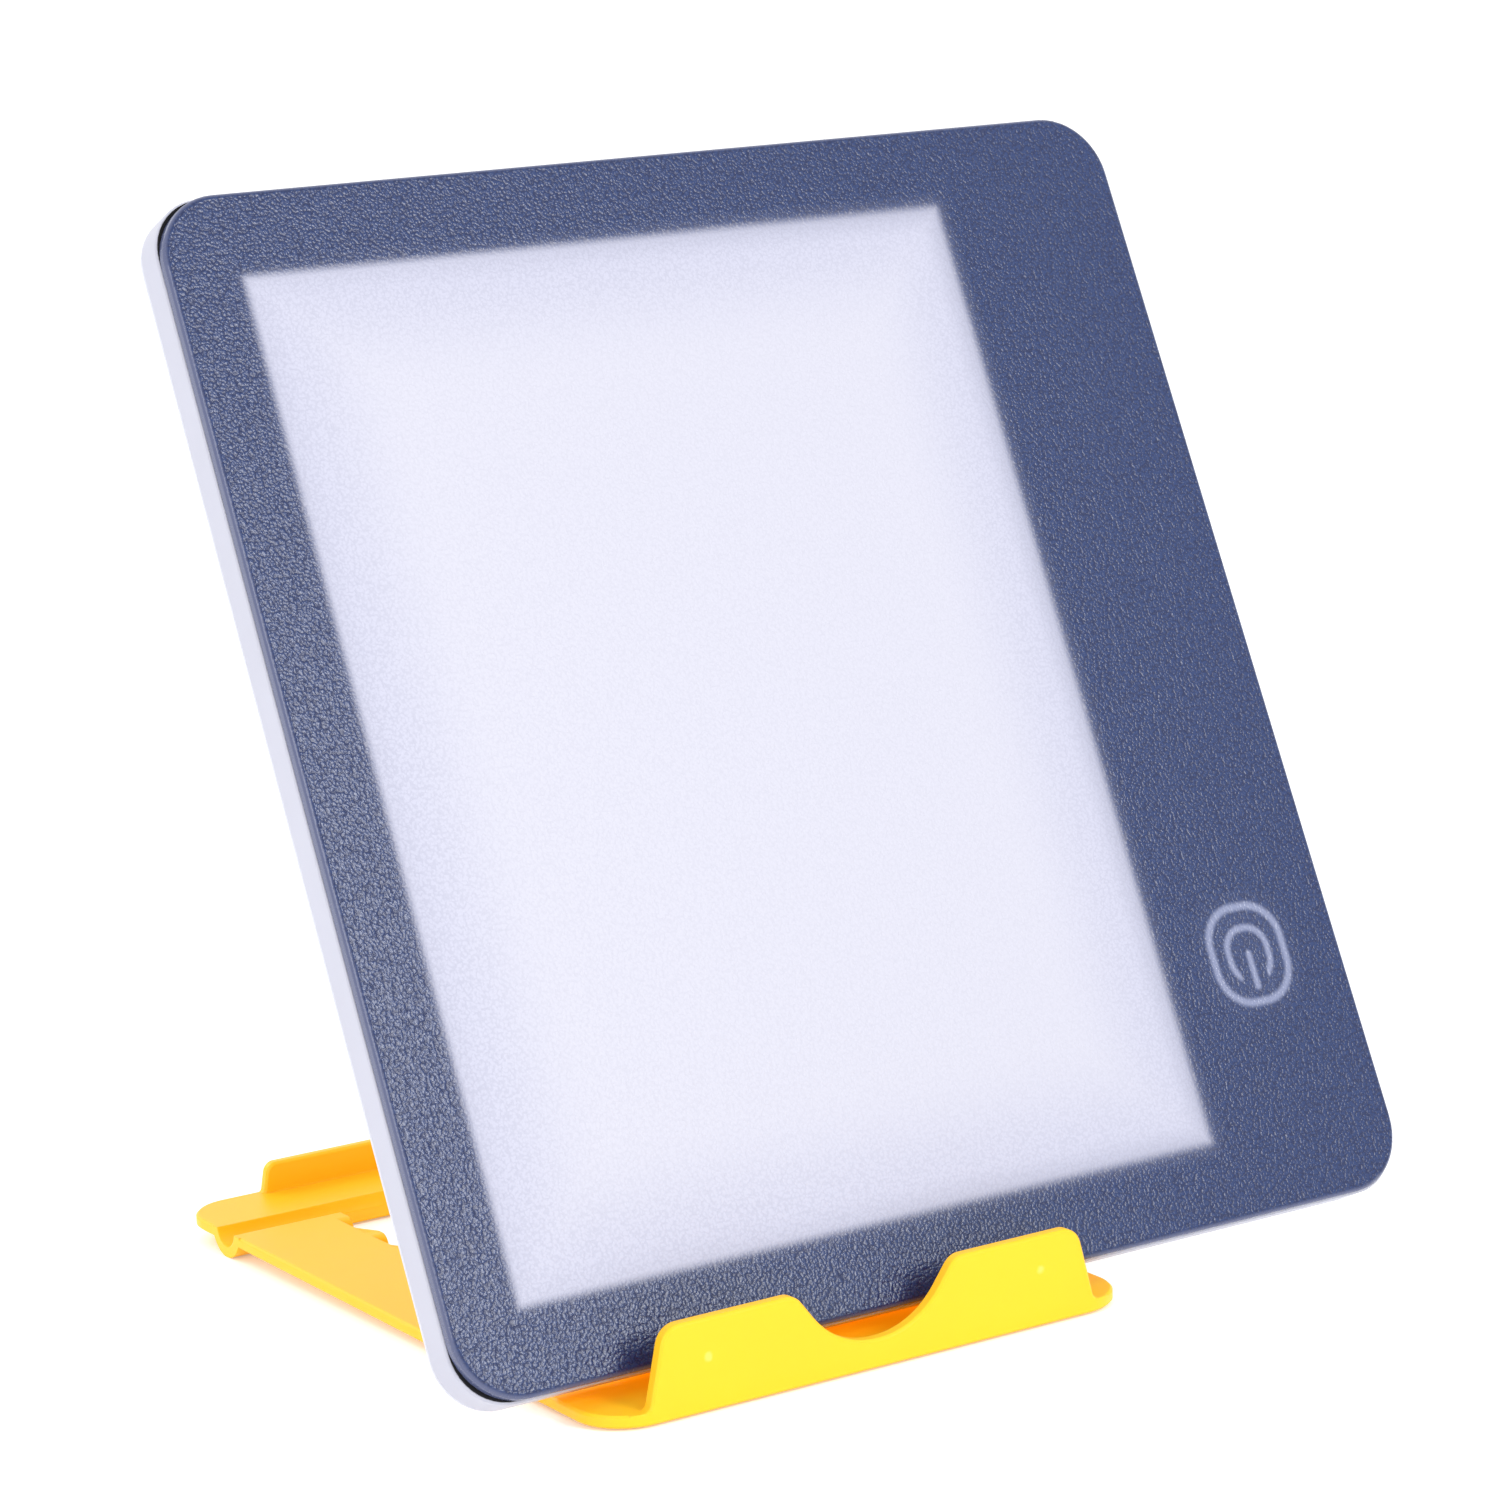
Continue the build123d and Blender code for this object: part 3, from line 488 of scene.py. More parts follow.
@dataclass(frozen=True)
class Moulding(Finish):
    """Moulded plastic or rubber with fine texture, uneven gloss and softened edges.

    Lengths are in metres. glow is the share of light that scatters under the surface, as far as
    glow_reach in millimetres of red, green and blue. crease is a painted shade colour: it is mixed into
    narrow corners that open light hardly reaches, and those corners also give it off as a painted glow.
    The painted shade's reach is how far apart the corners' walls may be. edge_colour is mixed in along
    the edges. marks are the places of gate marks, across and up, whose edge runs between the two parts
    of mark_radius in mark_edge.
    """

    colour: Rgb = (0.8, 0.8, 0.8)
    edge_colour: Rgb = (0.9, 0.9, 0.9)
    roughness: float = 0.35
    spread: float = 0.12
    grain: float = 0.25 * MM
    relief: float = 0.004 * MM
    edge_radius: float = 0.25 * MM
    tone: float = 0.04
    glow: float = 0.0
    glow_reach: Rgb = WHITE
    crease: Rgb = BLACK
    painted_shade_share: float = 0.0
    painted_glow: float = 0.0
    painted_shade_reach: float = 8.0 * MM
    shine: float = 0.5
    edge_tint_share: float = 0.35
    marks: tuple[Pair, ...] = ()
    mark_radius: float = 0.8 * MM
    mark_edge: Pair = (0.6, 1.3)
    mark_rate: float = 0.8 / MM
    mark_ragged: float = 0.7
    mark_depth: float = 0.5 * MM
    mark_colour: Rgb = (1.0, 0.78, 0.3)
    mark_share: float = 0.3
    mark_height: float = 8.0

    def build(self) -> bpy.types.Material:
        """Makes the material."""
        material, t, shader, place = self.tree()
        skin = t.use(
            GROUPS.moulded_skin, Vector=place, Grain=self.grain, Roughness=self.roughness,
            Spread=self.spread,
        )
        edge = t.use(GROUPS.soft_edge, Radius=self.edge_radius)
        deep = tuple(value * (1 - self.tone) for value in self.colour)
        body = t.mix(skin.outputs["Tone"], deep, self.colour)
        # Painted shade and painted glow: corners that open light hardly reaches are mixed towards the
        # crease colour and give that colour off as emission.
        if self.painted_shade_share > 0:
            painted_shade_mask = t.use(GROUPS.shelter, Reach=self.painted_shade_reach).outputs["Mask"]
            body = t.mix(t.math("MULTIPLY", painted_shade_mask, self.painted_shade_share), body, self.crease)
            t.feed(shader, Emission_Color=t.mix(painted_shade_mask, BLACK, self.crease))
            shader.inputs["Emission Strength"].default_value = self.painted_glow
        height = skin.outputs["Height"]
        for mark in self.marks:
            spot = self.gate_mark(t, place, mark)
            body = t.mix(t.math("MULTIPLY", spot, self.mark_share), body, self.mark_colour)
            height = t.math("MULTIPLY_ADD", spot, self.mark_height, height)
        # Edges are mixed towards edge_colour by the soft edge mask, a lighter colour along the rounded
        # edges.
        edge_tint = t.math("MULTIPLY", edge.outputs["Edge"], self.edge_tint_share)
        t.feed(
            shader, Base_Color=t.mix(edge_tint, body, self.edge_colour), Roughness=skin.outputs["Gloss"],
            Normal=t.bump(height, self.relief, Normal=edge.outputs["Normal"]),
        )
        shader.inputs["Specular IOR Level"].default_value = self.shine
        shader.inputs["Subsurface Weight"].default_value = self.glow
        shader.inputs["Subsurface Radius"].default_value = self.glow_reach
        shader.inputs["Subsurface Scale"].default_value = MM
        return material

    def gate_mark(self, t: ShaderTree, place: Socket, centre: Pair) -> Socket:
        """A round vestige of a moulding gate on an upright face.

        The mask falls from one to nought where the distance to the centre, across and up, plus a
        little noise passes the mark's radius, and it is nought behind the foremost face.

        Args:
            t: the material's tree.
            place: object coordinates.
            centre: the mark's place across and up.

        Returns:
            The mask's socket.
        """
        x, y, z = t.split(place)
        x = t.math("SUBTRACT", x, centre[0])
        z = t.math("SUBTRACT", z, centre[1])
        away = t.math("SQRT", t.math("MULTIPLY_ADD", x, x, t.math("MULTIPLY", z, z)))
        spread = self.mark_ragged * self.mark_radius
        ragged = t.math("MULTIPLY", t.noise(place, self.mark_rate).outputs[0], spread)
        inner, outer = (share * self.mark_radius for share in self.mark_edge)
        spot = t.ramp(t.math("ADD", away, ragged), inner, outer, 1.0, 0.0)
        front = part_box("stand_base")[0].y + self.mark_depth
        return t.math("MULTIPLY", spot, t.math("LESS_THAN", y, front))


@dataclass(frozen=True)
class Metal(Finish):
    """Bare or plated metal with drawn streaks and a little tarnish."""

    colour: Rgb = (0.6, 0.6, 0.62)
    roughness: float = 0.28
    streak: float = 0.15 * MM
    spread: float = 0.2
    stretch: float = 0.12
    relief: float = 0.003 * MM
    edge_radius: float = 0.12 * MM
    tarnish: Rgb = (0.35, 0.33, 0.31)
    tarnish_share: float = 0.25

    def build(self) -> bpy.types.Material:
        """Makes the material."""
        material, t, shader, place = self.tree()
        stretch = t.add("Mapping")
        t.put(stretch.inputs["Vector"], place)
        stretch.inputs["Scale"].default_value = (self.stretch, 1.0, 1.0)
        streaks = t.noise(stretch.outputs[0], 1 / self.streak, detail=4.0, rough=0.65)
        skin = t.use(
            GROUPS.moulded_skin, Vector=place, Grain=self.streak, Roughness=self.roughness,
            Spread=self.spread,
        )
        edge = t.use(GROUPS.soft_edge, Radius=self.edge_radius)
        share = t.math("MULTIPLY", skin.outputs["Tone"], self.tarnish_share)
        t.feed(
            shader, Base_Color=t.mix(share, self.colour, self.tarnish), Roughness=skin.outputs["Gloss"],
            Normal=t.bump(streaks.outputs[0], self.relief, Normal=edge.outputs["Normal"]),
        )
        shader.inputs["Metallic"].default_value = 1.0
        return material


@dataclass(frozen=True)
class ClearSheet(Finish):
    """Clear plastic sheet with a repeated relief, dots or ribs, laid out on the lamp's plane.

    pitch is in millimetres, and dot_edge is where a dot's edge starts and ends, in pitches.
    """

    tint: Rgb = (0.93, 0.96, 0.99)
    pitch: float = 1.2
    ribbed: bool = False
    dot_edge: Pair = (0.18, 0.26)
    relief: float = 0.02 * MM
    roughness: float = 0.06
    index: float = 1.49

    def build(self) -> bpy.types.Material:
        """Makes the material."""
        material, t, shader, place = self.tree()
        plane = LAMP.coordinates(t, place)
        if self.ribbed:
            x, _, _ = t.split(plane)
            height = t.math("PINGPONG", x, self.pitch / 2)
        else:
            cells = t.add("TexVoronoi", feature="F1")
            t.feed(cells, Vector=plane, Scale=1 / self.pitch, Randomness=0.0)
            height = t.ramp(cells.outputs["Distance"], *self.dot_edge, 1.0, 0.0)
        t.feed(shader, Base_Color=self.tint, Normal=t.bump(height, self.relief), Roughness=self.roughness)
        shader.inputs["Transmission Weight"].default_value = 1.0
        shader.inputs["IOR"].default_value = self.index
        return material


@dataclass(frozen=True)
class BoardMask(Finish):
    """Solder mask over copper runs: lighter lines on a grid where the copper lies under the lacquer.

    pitch, wander_reach, run_edge and cross_edge are in millimetres, and wander_rate is per millimetre.
    """

    colour: Rgb = (0.03, 0.2, 0.09)
    run_colour: Rgb = (0.06, 0.34, 0.16)
    pitch: float = 1.9
    wander_rate: float = 0.16
    wander_reach: float = 14.0
    run_edge: Pair = (0.22, 0.32)
    cross_edge: Pair = (0.25, 0.35)
    relief: float = 0.03 * MM
    roughness: float = 0.38

    def build(self) -> bpy.types.Material:
        """Makes the material."""
        material, t, shader, place = self.tree()
        plane = LAMP.coordinates(t, place)
        wander = t.noise(plane, self.wander_rate, detail=1.0)
        x, y, _ = t.split(plane)
        push = t.math("MULTIPLY", wander.outputs[0], self.wander_reach)
        stepped = t.math("SNAP", push, self.pitch)
        line = t.math("PINGPONG", t.math("ADD", x, stepped), self.pitch / 2)
        run = t.ramp(line, *self.run_edge, 1.0, 0.0)
        cross = t.ramp(t.math("PINGPONG", y, self.pitch * 3), *self.cross_edge, 1.0, 0.0)
        copper = t.math("MAXIMUM", run, cross)
        colour = t.mix(copper, self.colour, self.run_colour)
        t.feed(shader, Base_Color=colour, Normal=t.bump(copper, self.relief), Roughness=self.roughness)
        return material


@dataclass(frozen=True)
class PebbledCover(Finish):
    """Frosted front cover over a printed border: soft-edged bright window, symbol and pebble grain.

    Lengths are in millimetres on the lamp's face. The window's edge is window_blur wide. A haze runs
    between the two distances of window_haze, with the first haze_share at the left and the second at
    the right, and window_fade is how far in the brightness keeps rising. The pane reflects pane_share
    of its colour and glows with the strength glow. pane_grain is how much the creases tint it at its
    edge and in its middle, pane_flat how much of the relief it loses and pane_dull how much rougher it
    is than the border. smooth_rim is where the relief runs out, just inside the outline.
    """

    centre: Pair = (71.5, 76.0)
    half: Pair = (71.35, 75.85)
    corner: float = 8.65
    window_centre: Pair = (61.6, 75.7)
    window_half: Pair = (51.8, 65.1)
    window_corner: float = 0.5
    window_blur: float = 1.7
    window_haze: Pair = (-4.2, 2.6)
    haze_share: Pair = (0.16, 0.42)
    window_fade: float = 18.0
    ragged: float = 0.5
    smooth_rim: Pair = (-0.6, -0.12)
    cell: float = 0.41
    relief: float = 0.064
    symbol: Pair = (127.8, 33.7)
    ring_half: Pair = (5.8, 6.45)
    ring_corner: float = 4.9
    ring_stroke: float = 1.0
    arc_half: Pair = (3.2, 3.55)
    arc_corner: float = 2.9
    stroke: float = 0.88
    stroke_edge: Pair = (0.1, 0.9)
    opening: float = 2.1
    opening_blur: float = 0.25
    level_blur: float = 0.2
    bar: float = 4.4
    halo: Pair = (-0.5, 3.5)
    halo_share: float = 0.06
    print_share: float = 0.85
    crease: Rgb = (0.002, 0.011, 0.063)
    crown: Rgb = (0.009, 0.027, 0.105)
    rim: Rgb = (0.075, 0.088, 0.17)
    window_edge: Rgb = (0.765, 0.774, 0.965)
    window_middle: Rgb = (0.86, 0.86, 1.0)
    symbol_colour: Rgb = (0.21, 0.235, 0.36)
    pane_share: float = 0.305
    pane_grain: Pair = (0.09, 0.03)
    grain_contrast: Pair = (0.4, 0.75)
    gloss_levels: Pair = (0.2, 0.8)
    gloss: Pair = (0.28, 0.22)
    pane_flat: float = 0.62
    pane_dull: float = 0.22
    shine: float = 0.49
    glow: float = 0.37

    def box(self, t: ShaderTree, plane: Socket, centre: Pair, half: Pair, corner: float) -> Socket:
        """Signed distance to a rounded rectangle on the face.

        Args:
            t: the material's tree.
            plane: coordinates on the lamp's face.
            centre, half, corner: the rectangle.

        Returns:
            The distance's socket.
        """
        node = t.use(
            GROUPS.soft_box, Vector=plane, Centre=(*centre, 0.0), Half=(*half, 0.0), Corner=corner
        )
        return node.outputs["Distance"]

    def symbol_mask(self, t: ShaderTree, plane: Socket) -> tuple[Socket, Socket]:
        """The ring, the open arc and the bar of the power symbol, with soft strokes.

        Ring and arc follow rounded rectangles. A stroke fades between the two parts of its width in
        stroke_edge, measured from its line. The arc is left out below the middle between its two ends,
        and the bar hangs from the centre.

        Args:
            t: the material's tree.
            plane: coordinates on the lamp's face.

        Returns:
            The strokes' mask and the fainter halo's mask.
        """
        def stroke(distance: Socket, width: float) -> Socket:
            inside, outside = (share * width for share in self.stroke_edge)
            return t.ramp(distance, inside, outside, 1.0, 0.0)

        x, y, _ = t.split(plane)
        x = t.math("SUBTRACT", x, self.symbol[0])
        y = t.math("SUBTRACT", y, self.symbol[1])
        outer = self.box(t, plane, self.symbol, self.ring_half, self.ring_corner)
        inner = self.box(t, plane, self.symbol, self.arc_half, self.arc_corner)
        ring = stroke(t.math("ABSOLUTE", outer), self.ring_stroke)
        arc = stroke(t.math("ABSOLUTE", inner), self.stroke)
        near, far = self.opening - self.opening_blur, self.opening + self.opening_blur
        beside = t.ramp(t.math("ABSOLUTE", x), near, far)
        above = t.ramp(y, -self.level_blur, self.level_blur)
        arc = t.math("MULTIPLY", arc, t.math("MAXIMUM", beside, above))
        along = t.math("MINIMUM", t.math("MAXIMUM", y, -self.bar), 0.0)
        off = t.math("SUBTRACT", y, along)
        away = t.math("SQRT", t.math("MULTIPLY_ADD", x, x, t.math("MULTIPLY", off, off)))
        mask = t.math("MAXIMUM", ring, t.math("MAXIMUM", arc, stroke(away, self.stroke)))
        return mask, t.ramp(outer, *self.halo, 1.0, 0.0)

    def window_masks(self, t: ShaderTree, plane: Socket, grain: Socket) -> tuple[Socket, Socket]:
        """Where the lit window shows, and how far it has come up to its full brightness.

        The edge is a narrow step on the distance to the window, made ragged by the grain, with a
        share of a wider and fainter step that grows from left to right.

        Args:
            t: the material's tree.
            plane: coordinates on the lamp's face.
            grain: the pebbles' height.

        Returns:
            The window's mask and the mask of its bright middle.
        """
        window = self.box(t, plane, self.window_centre, self.window_half, self.window_corner)
        ragged = t.math("ADD", window, t.math("MULTIPLY_ADD", grain, self.ragged, -self.ragged / 2))
        core = t.ramp(ragged, -self.window_blur / 2, self.window_blur / 2, 1.0, 0.0)
        haze = t.math("SUBTRACT", t.ramp(ragged, *self.window_haze, 1.0, 0.0), core)
        across, _, _ = t.split(plane)
        share = t.ramp(across, 0.0, 2 * self.window_centre[0], *self.haze_share)
        opened = t.math("MULTIPLY_ADD", haze, share, core)
        return opened, t.ramp(window, -self.window_fade, 0.0, 1.0, 0.0)

    def build(self) -> bpy.types.Material:
        """Makes the material."""
        material, t, shader, place = self.tree()
        plane = LAMP.coordinates(t, place)
        outline = self.box(t, plane, self.centre, self.half, self.corner)
        grain = t.use(GROUPS.pebble_grain, Vector=plane, Cell=self.cell).outputs["Height"]
        level = t.ramp(outline, *self.smooth_rim, 1.0, 0.0)
        opened, inner = self.window_masks(t, plane, grain)
        crowns = t.ramp(grain, *self.grain_contrast)
        border = t.mix(crowns, self.crease, self.crown)
        border = t.mix(t.math("SUBTRACT", 1.0, level), border, self.rim)
        strokes, halo = self.symbol_mask(t, plane)
        border = t.mix(t.math("MULTIPLY", halo, self.halo_share), border, self.symbol_colour)
        border = t.mix(t.math("MULTIPLY", strokes, self.print_share), border, self.symbol_colour)
        pane = t.mix(inner, self.window_edge, self.window_middle)
        dim = t.math("MULTIPLY", t.math("SUBTRACT", 1.0, crowns), t.ramp(inner, 0.0, 1.0, *self.pane_grain))
        pane = t.mix(dim, pane, self.crown)
        lit = t.mix(1.0 - self.pane_share, pane, BLACK)
        flatter = t.math("MULTIPLY_ADD", opened, -self.pane_flat, 1.0)
        height = t.math("MULTIPLY", t.math("MULTIPLY", grain, level), flatter)
        gloss = t.ramp(grain, *self.gloss_levels, *self.gloss)
        t.feed(
            shader, Base_Color=t.mix(opened, border, lit), Normal=t.bump(height, self.relief * MM),
            Roughness=t.math("MULTIPLY_ADD", opened, self.pane_dull, gloss),
            Emission_Color=t.mix(opened, BLACK, pane),
        )
        shader.inputs["Specular IOR Level"].default_value = self.shine
        shader.inputs["Emission Strength"].default_value = self.glow
        return material


# ---------------------------------------------------------------- places
@dataclass
class LampPlane:
    """Where the lamp's own plane lies in the model's frame.

    The lean comes from the axis along which the lamp lifts out, and the origin from the middle of the
    light guide, whose place in the lamp is known.
    """

    guide_middle: Point = (62.6, 76.1, 2.9)
    lean: float = 0.0
    origin: Vector = field(default_factory=Vector)

    def find(self, frame: dict[str, Any]) -> None:
        """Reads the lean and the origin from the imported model.

        Args:
            frame: the loaded model.
        """
        lift = next(joint for joint in frame["joints"] if joint["name"] == "lamp_lift")
        axis = Vector(lift["axis"])
        self.lean = math.atan2(axis.z, axis.y)
        low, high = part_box("light_guide")
        middle = Vector(self.guide_middle) * MM
        self.origin = (low + high) / 2 - self.turn() @ middle

    def turn(self) -> Matrix:
        """The rotation from the lamp's plane to the model's frame."""
        return Matrix.Rotation(self.lean, 3, "X")

    def coordinates(self, t: ShaderTree, place: Socket) -> Socket:
        """Lays out a material on the lamp's plane.

        Args:
            t: the material's tree.
            place: object coordinates.

        Returns:
            The socket of the coordinates in millimetres on the plane.
        """
        node = t.use(
            GROUPS.lamp_plane, Vector=place, Origin=tuple(self.origin), Turn=(self.lean, 0.0, 0.0)
        )
        return node.outputs["Vector"]


LAMP = LampPlane()


# ---------------------------------------------------------------- surfaces
def ring_mesh(name: str, grid: np.ndarray) -> bpy.types.Mesh:
    """A mesh from rings of points, each joined to the next and closed on itself.

    Args:
        name: the mesh's name.
        grid: points as rings by points by three, in metres.

    Returns:
        The mesh, with doubled points merged and faces pointing outwards.
    """
    rows, columns = grid.shape[:2]
    index = np.arange(rows * columns).reshape(rows, columns)
    index = np.concatenate([index, index[:, :1]], axis=1)
    quads = np.stack([index[:-1, :-1], index[:-1, 1:], index[1:, 1:], index[1:, :-1]], axis=-1)
    mesh = bpy.data.meshes.new(name)
    mesh.from_pydata(grid.reshape(-1, 3).tolist(), [], quads.reshape(-1, 4).tolist())
    work = bmesh.new()
    work.from_mesh(mesh)
    bmesh.ops.remove_doubles(work, verts=work.verts, dist=MERGE_DISTANCE)
    bmesh.ops.recalc_face_normals(work, faces=work.faces)
    work.to_mesh(mesh)
    work.free()
    mesh.polygons.foreach_set("use_smooth", np.ones(len(mesh.polygons), dtype=bool))
    mesh.update()
    return mesh


def put(mesh: bpy.types.Mesh, material: bpy.types.Material) -> bpy.types.Object:
    """Places a mesh with its material as an object at the origin.

    Args:
        mesh: the finished mesh.
        material: its material.

    Returns:
        The object.
    """
    piece = bpy.data.objects.new(mesh.name, mesh)
    bpy.context.scene.collection.objects.link(piece)
    mesh.materials.append(material)
    return piece


# ---------------------------------------------------------------- studio
@dataclass(frozen=True)
class Softbox:
    """One rectangular light that faces the lamp.

    Place and size, width by height, are in metres, and the power is in watts.
    """

    name: str
    place: Point
    size: Pair
    power: float

    def build(self, aim: Point) -> None:
        """Makes the light.

        Args:
            aim: the point it faces.
        """
        data = bpy.data.lights.new(self.name, "AREA")
        data.shape = "RECTANGLE"
        data.size, data.size_y = self.size
        data.energy = self.power
        item = bpy.data.objects.new(self.name, data)
        turn = (Vector(aim) - Vector(self.place)).to_track_quat("-Z", "Y").to_matrix().to_4x4()
        item.matrix_world = Matrix.Translation(self.place) @ turn
        bpy.context.scene.collection.objects.link(item)


@dataclass
class Studio:
    """Camera, pale floor and soft lights.

    eye is the camera's place, right and up are its directions, and focal, sensor and clip are its lens
    in millimetres, its sensor's width and its nearest and farthest distance in metres. The floor's
    specks count per metre. sky is the strength of the white surroundings.
    """

    eye: Point = (-0.3196, -0.51186, 0.17998)
    right: Point = (0.83885, -0.54182, -0.05251)
    up: Point = (0.14373, 0.12742, 0.98138)
    focal: float = 112.8
    sensor: float = 36.0
    clip: Pair = (0.01, 100.0)
    floor_radius: float = 30.0
    floor_rings: int = 24
    floor_points: int = 64
    floor_colour: Rgb = (0.93, 0.93, 0.935)
    floor_roughness: float = 0.7
    floor_shine: float = 0.2
    floor_glow: float = 0.19
    floor_speck: Rgb = (0.85, 0.85, 0.86)
    speck_rate: float = 900.0
    speck_share: float = 0.03
    sky: float = 1.13
    aim: Point = (0.0, 0.0, 0.06)
    softboxes: tuple[Softbox, ...] = (
        Softbox("key", (0.26, -0.80, 0.51), (0.2, 0.42), 3.9),
        Softbox("side", (-0.95, -0.4, 0.45), (0.4, 0.4), 2.5),
        Softbox("rear", (-0.6, 1.2, 1.1), (1.0, 1.0), 6.5),
    )

    def camera(self) -> None:
        """Makes the camera from its right and up directions."""
        data = bpy.data.cameras.new("camera")
        data.sensor_width = self.sensor
        data.sensor_fit = "HORIZONTAL"
        data.lens = self.focal
        data.clip_start, data.clip_end = self.clip
        item = bpy.data.objects.new("camera", data)
        right, up = Vector(self.right), Vector(self.up)
        back = right.cross(up)
        turn = Matrix((right, up, back)).transposed().to_4x4()
        item.matrix_world = Matrix.Translation(self.eye) @ turn
        bpy.context.scene.collection.objects.link(item)
        bpy.context.scene.camera = item

    def floor(self) -> None:
        """Makes a flat disc of rings whose radii grow with the square of their number."""
        share = np.linspace(0.0, 1.0, self.floor_rings)[:, None] ** 2
        angle = np.linspace(0, 2 * np.pi, self.floor_points, endpoint=False)[None, :]
        radius = self.floor_radius * share
        across, along = radius * np.cos(angle), radius * np.sin(angle)
        grid = np.stack([across, along, np.zeros_like(across)], axis=-1)
        material, t, shader, place = Finish("pale_floor").tree()
        speckle = t.noise(place, self.speck_rate, detail=2.0)
        specks = t.math("MULTIPLY", speckle.outputs[0], self.speck_share)
        tone = t.mix(specks, self.floor_colour, self.floor_speck)
        t.feed(shader, Base_Color=tone, Roughness=self.floor_roughness, Emission_Color=WHITE)
        shader.inputs["Specular IOR Level"].default_value = self.floor_shine
        shader.inputs["Emission Strength"].default_value = self.floor_glow
        ground = put(ring_mesh("floor", grid[::-1]), material)

    def lights(self) -> None:
        """Sets the even surroundings and the softboxes."""
        world = bpy.data.worlds.new("surroundings")
        world.use_nodes = True
        back = world.node_tree.nodes["Background"]
        back.inputs["Color"].default_value = (*WHITE, 1.0)
        back.inputs["Strength"].default_value = self.sky
        bpy.context.scene.world = world
        for softbox in self.softboxes:
            softbox.build(self.aim)
        bpy.context.scene.view_settings.view_transform = "Standard"
        bpy.context.scene.view_settings.look = "None"

    def build(self) -> None:
        """Makes the whole studio."""
        self.floor()
        self.lights()
        LOG.info("studio: floor and lights")


# ---------------------------------------------------------------- the lamp
@dataclass
class LampFace:
    """Front cover, printed border and the black line round it."""

    def build(self) -> None:
        """Dresses the face."""
        PebbledCover("pebbled_cover").dress("front_cover")
        Moulding(
            "printed_film", colour=linear(96, 104, 140), edge_colour=linear(110, 118, 150), roughness=0.6
        ).dress("border_mask")
        Moulding(
            "black_adhesive", colour=(0.012, 0.012, 0.014), edge_colour=(0.03, 0.03, 0.035), roughness=0.75,
            relief=0.02 * MM, shine=0.08,
        ).dress("cover_gasket")
        LOG.info("lamp face: cover, border and black line")


@dataclass
class LampShell:
    """White frame, rear cover and the screws that join them."""

    white: Rgb = (0.44, 0.445, 0.525)

    def build(self) -> None:
        """Dresses the shells."""
        Moulding(
            "white_shell", colour=self.white, edge_colour=(0.60, 0.61, 0.68), roughness=0.34, glow=0.08,
            glow_reach=(1.0, 1.0, 1.2),
        ).dress("side_frame")
        Moulding(
            "white_rear_shell", colour=(0.62, 0.63, 0.70), edge_colour=(0.70, 0.71, 0.77), roughness=0.5,
            grain=0.5 * MM, relief=0.012 * MM,
        ).dress("rear_cover")
        Metal("screw_steel", colour=(0.55, 0.55, 0.57), roughness=0.3).dress("rear_screws")
        LOG.info("lamp shell: frame, rear cover and screws")


@dataclass
class LightStack:
    """Reflector, light guide, sheets and the strip that lights them."""

    def build(self) -> None:
        """Dresses the stack."""
        Moulding("reflector_film", colour=(0.93, 0.93, 0.95), roughness=0.5, grain=0.08 * MM).dress(
            "reflector_sheet"
        )
        ClearSheet("clear_acrylic").dress("light_guide")
        Moulding("diffuser_film", colour=(0.9, 0.9, 0.96), roughness=0.6, grain=0.06 * MM).dress(
            "diffuser_sheet"
        )
        ClearSheet("prism_film", pitch=0.1, ribbed=True).dress("prism_sheet")
        BoardMask("white_board", colour=(0.85, 0.86, 0.84), run_colour=(0.9, 0.91, 0.89)).dress("led_board")
        Moulding(
            "led_package", colour=(1.0, 0.86, 0.45), edge_colour=(0.95, 0.95, 0.93), roughness=0.3
        ).dress("led_chips")
        Moulding(
            "amber_film", colour=(0.7, 0.32, 0.05), edge_colour=(0.8, 0.45, 0.12), roughness=0.25
        ).dress("led_ribbon")
        LOG.info("light stack: sheets, guide and LED strip")


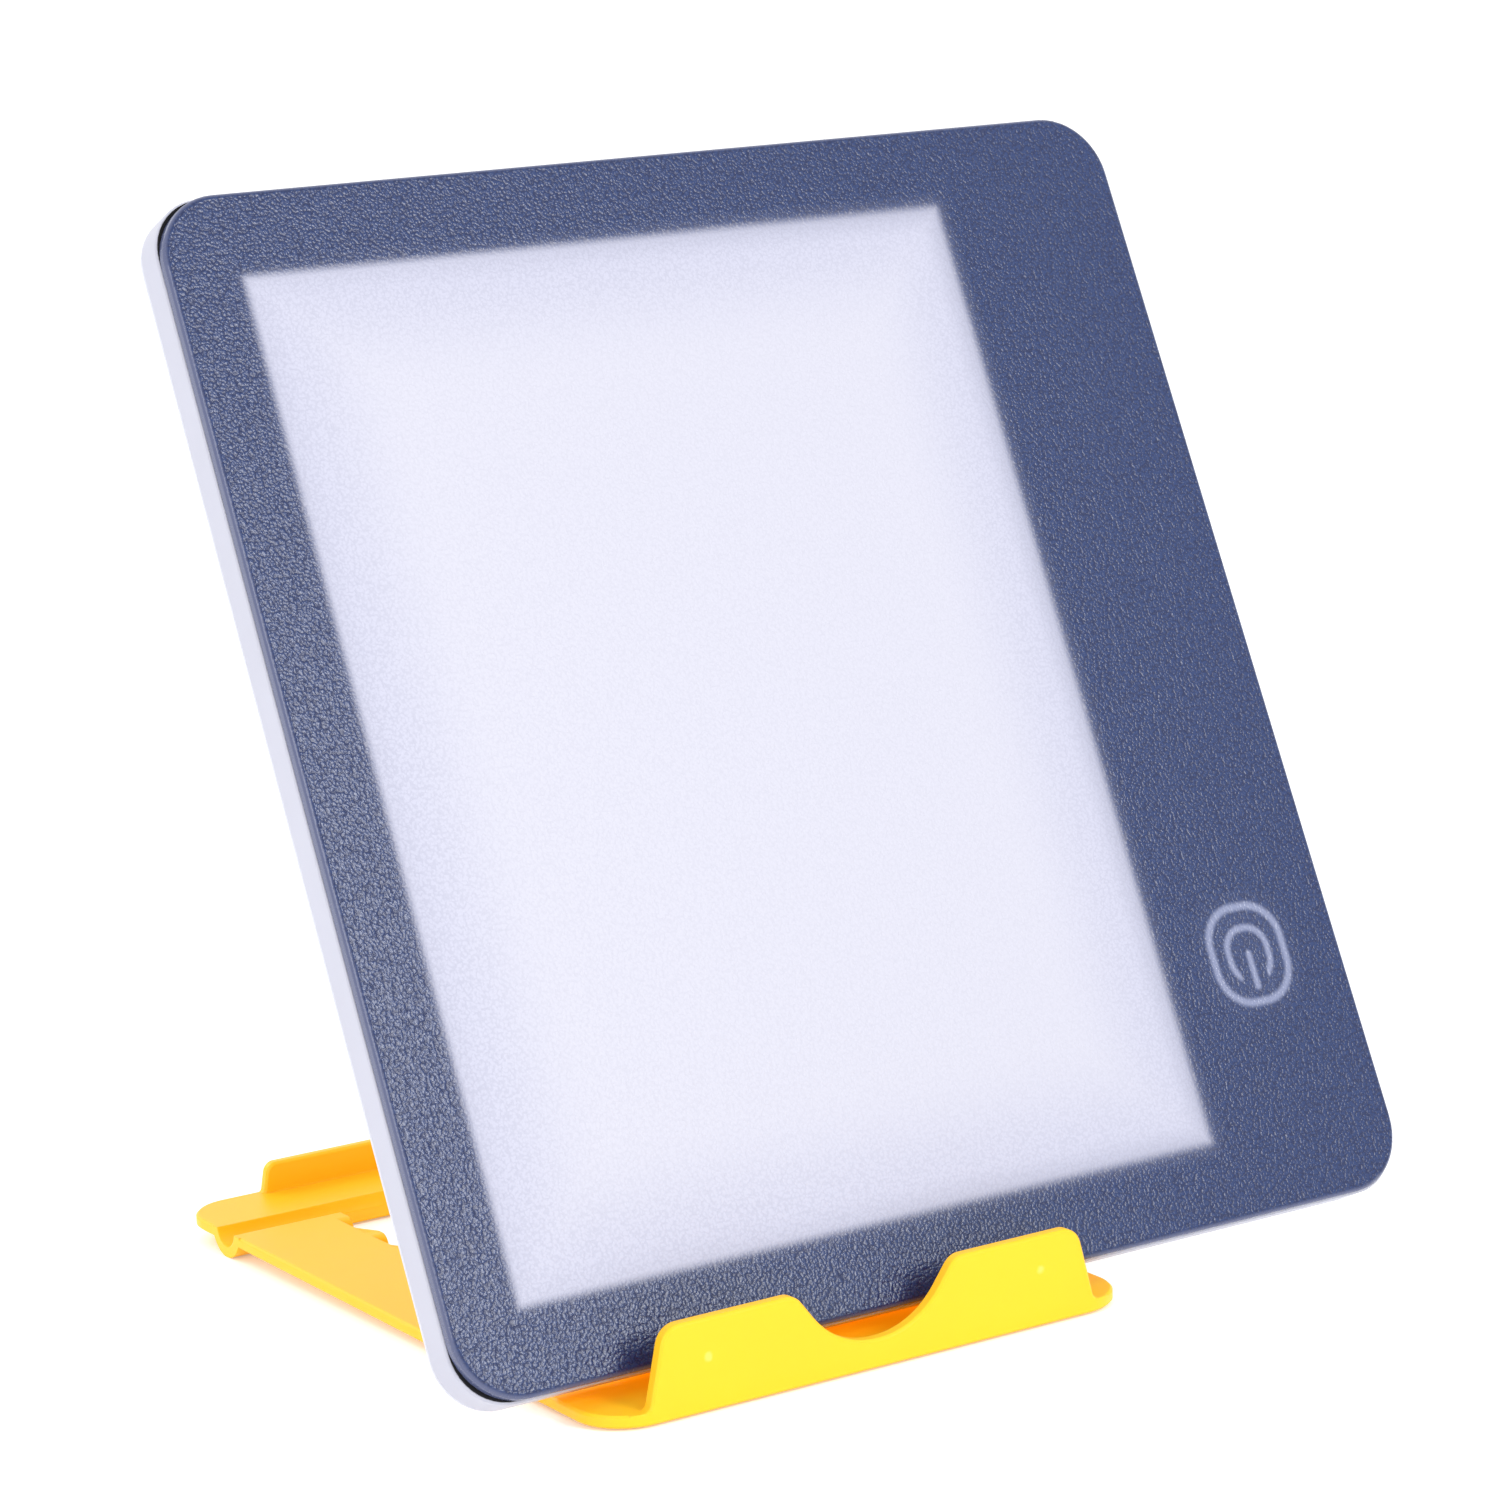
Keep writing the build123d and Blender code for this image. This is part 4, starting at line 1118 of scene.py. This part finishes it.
@dataclass
class Electronics:
    """Control board with its parts, the power socket and the touch sensor."""

    def build(self) -> None:
        """Dresses the electronics."""
        BoardMask("green_board").dress("control_board")
        Moulding("black_resin", colour=(0.025, 0.025, 0.027), roughness=0.55, relief=0.01 * MM).dress(
            "driver_chip"
        )
        Moulding("ferrite", colour=(0.09, 0.09, 0.095), roughness=0.7, relief=0.02 * MM).dress(
            "power_inductor"
        )
        Moulding("ceramic", colour=(0.5, 0.36, 0.22), roughness=0.4).dress("filter_capacitors")
        Metal("socket_steel", colour=(0.7, 0.7, 0.72), roughness=0.22).dress("socket_shell")
        Moulding("socket_resin", colour=(0.02, 0.02, 0.022), roughness=0.5).dress("socket_tongue")
        Metal("copper_foil", colour=(0.85, 0.45, 0.28), roughness=0.3).dress("touch_electrode")
        Moulding(
            "dark_foam", colour=(0.05, 0.05, 0.055), roughness=0.95, grain=0.3 * MM, relief=0.08 * MM
        ).dress("touch_contact")
        LOG.info("electronics: board, parts, socket and touch sensor")


# ---------------------------------------------------------------- the stand
@dataclass
class Stand:
    """Yellow folding stand with its steel pins, rubber feet and pads."""

    yellow: Rgb = (1.0, 0.52, 0.012)
    mark_side: float = 24.4 * MM
    mark_up: Pair = (7.1 * MM, 7.6 * MM)

    def build(self) -> None:
        """Dresses the stand."""
        low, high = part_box("stand_base")
        middle = (low.x + high.x) / 2
        Moulding(
            # The orange crease colour is painted shade, and its emission is painted glow, in the stand's
            # sheltered corners.
            "yellow_shell", colour=self.yellow, edge_colour=(1.0, 0.62, 0.03), roughness=0.4, spread=0.08,
            relief=0.002 * MM, edge_radius=0.3 * MM, tone=0.02, glow=0.15, glow_reach=(1.5, 0.9, 0.1),
            crease=(1.0, 0.29, 0.0), painted_shade_share=0.4, painted_glow=0.48, shine=0.3,
            marks=((middle - self.mark_side, self.mark_up[0]), (middle + self.mark_side, self.mark_up[1])),
        ).dress("stand_base", "backrest", "prop")
        Metal("pin_steel", colour=(0.72, 0.72, 0.74), roughness=0.15).dress(
            "base_hinge_pin", "prop_hinge_pin"
        )
        Moulding(
            "clear_silicone", colour=(0.7, 0.7, 0.67), roughness=0.7, relief=0.02 * MM, glow=0.3
        ).dress("front_feet", "backrest_pads")
        LOG.info("stand: base, backrest, prop, pins, feet and pads")


def main() -> None:
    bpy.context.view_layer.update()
    LAMP.find(FRAME)
    studio = Studio()
    studio.camera()
    for part in (LampFace(), LampShell(), LightStack(), Electronics(), Stand(), studio):
        part.build()


if __name__ == "__main__":
    logging.basicConfig(level=logging.INFO, format="%(name)s: %(message)s")
    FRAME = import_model()
    main()
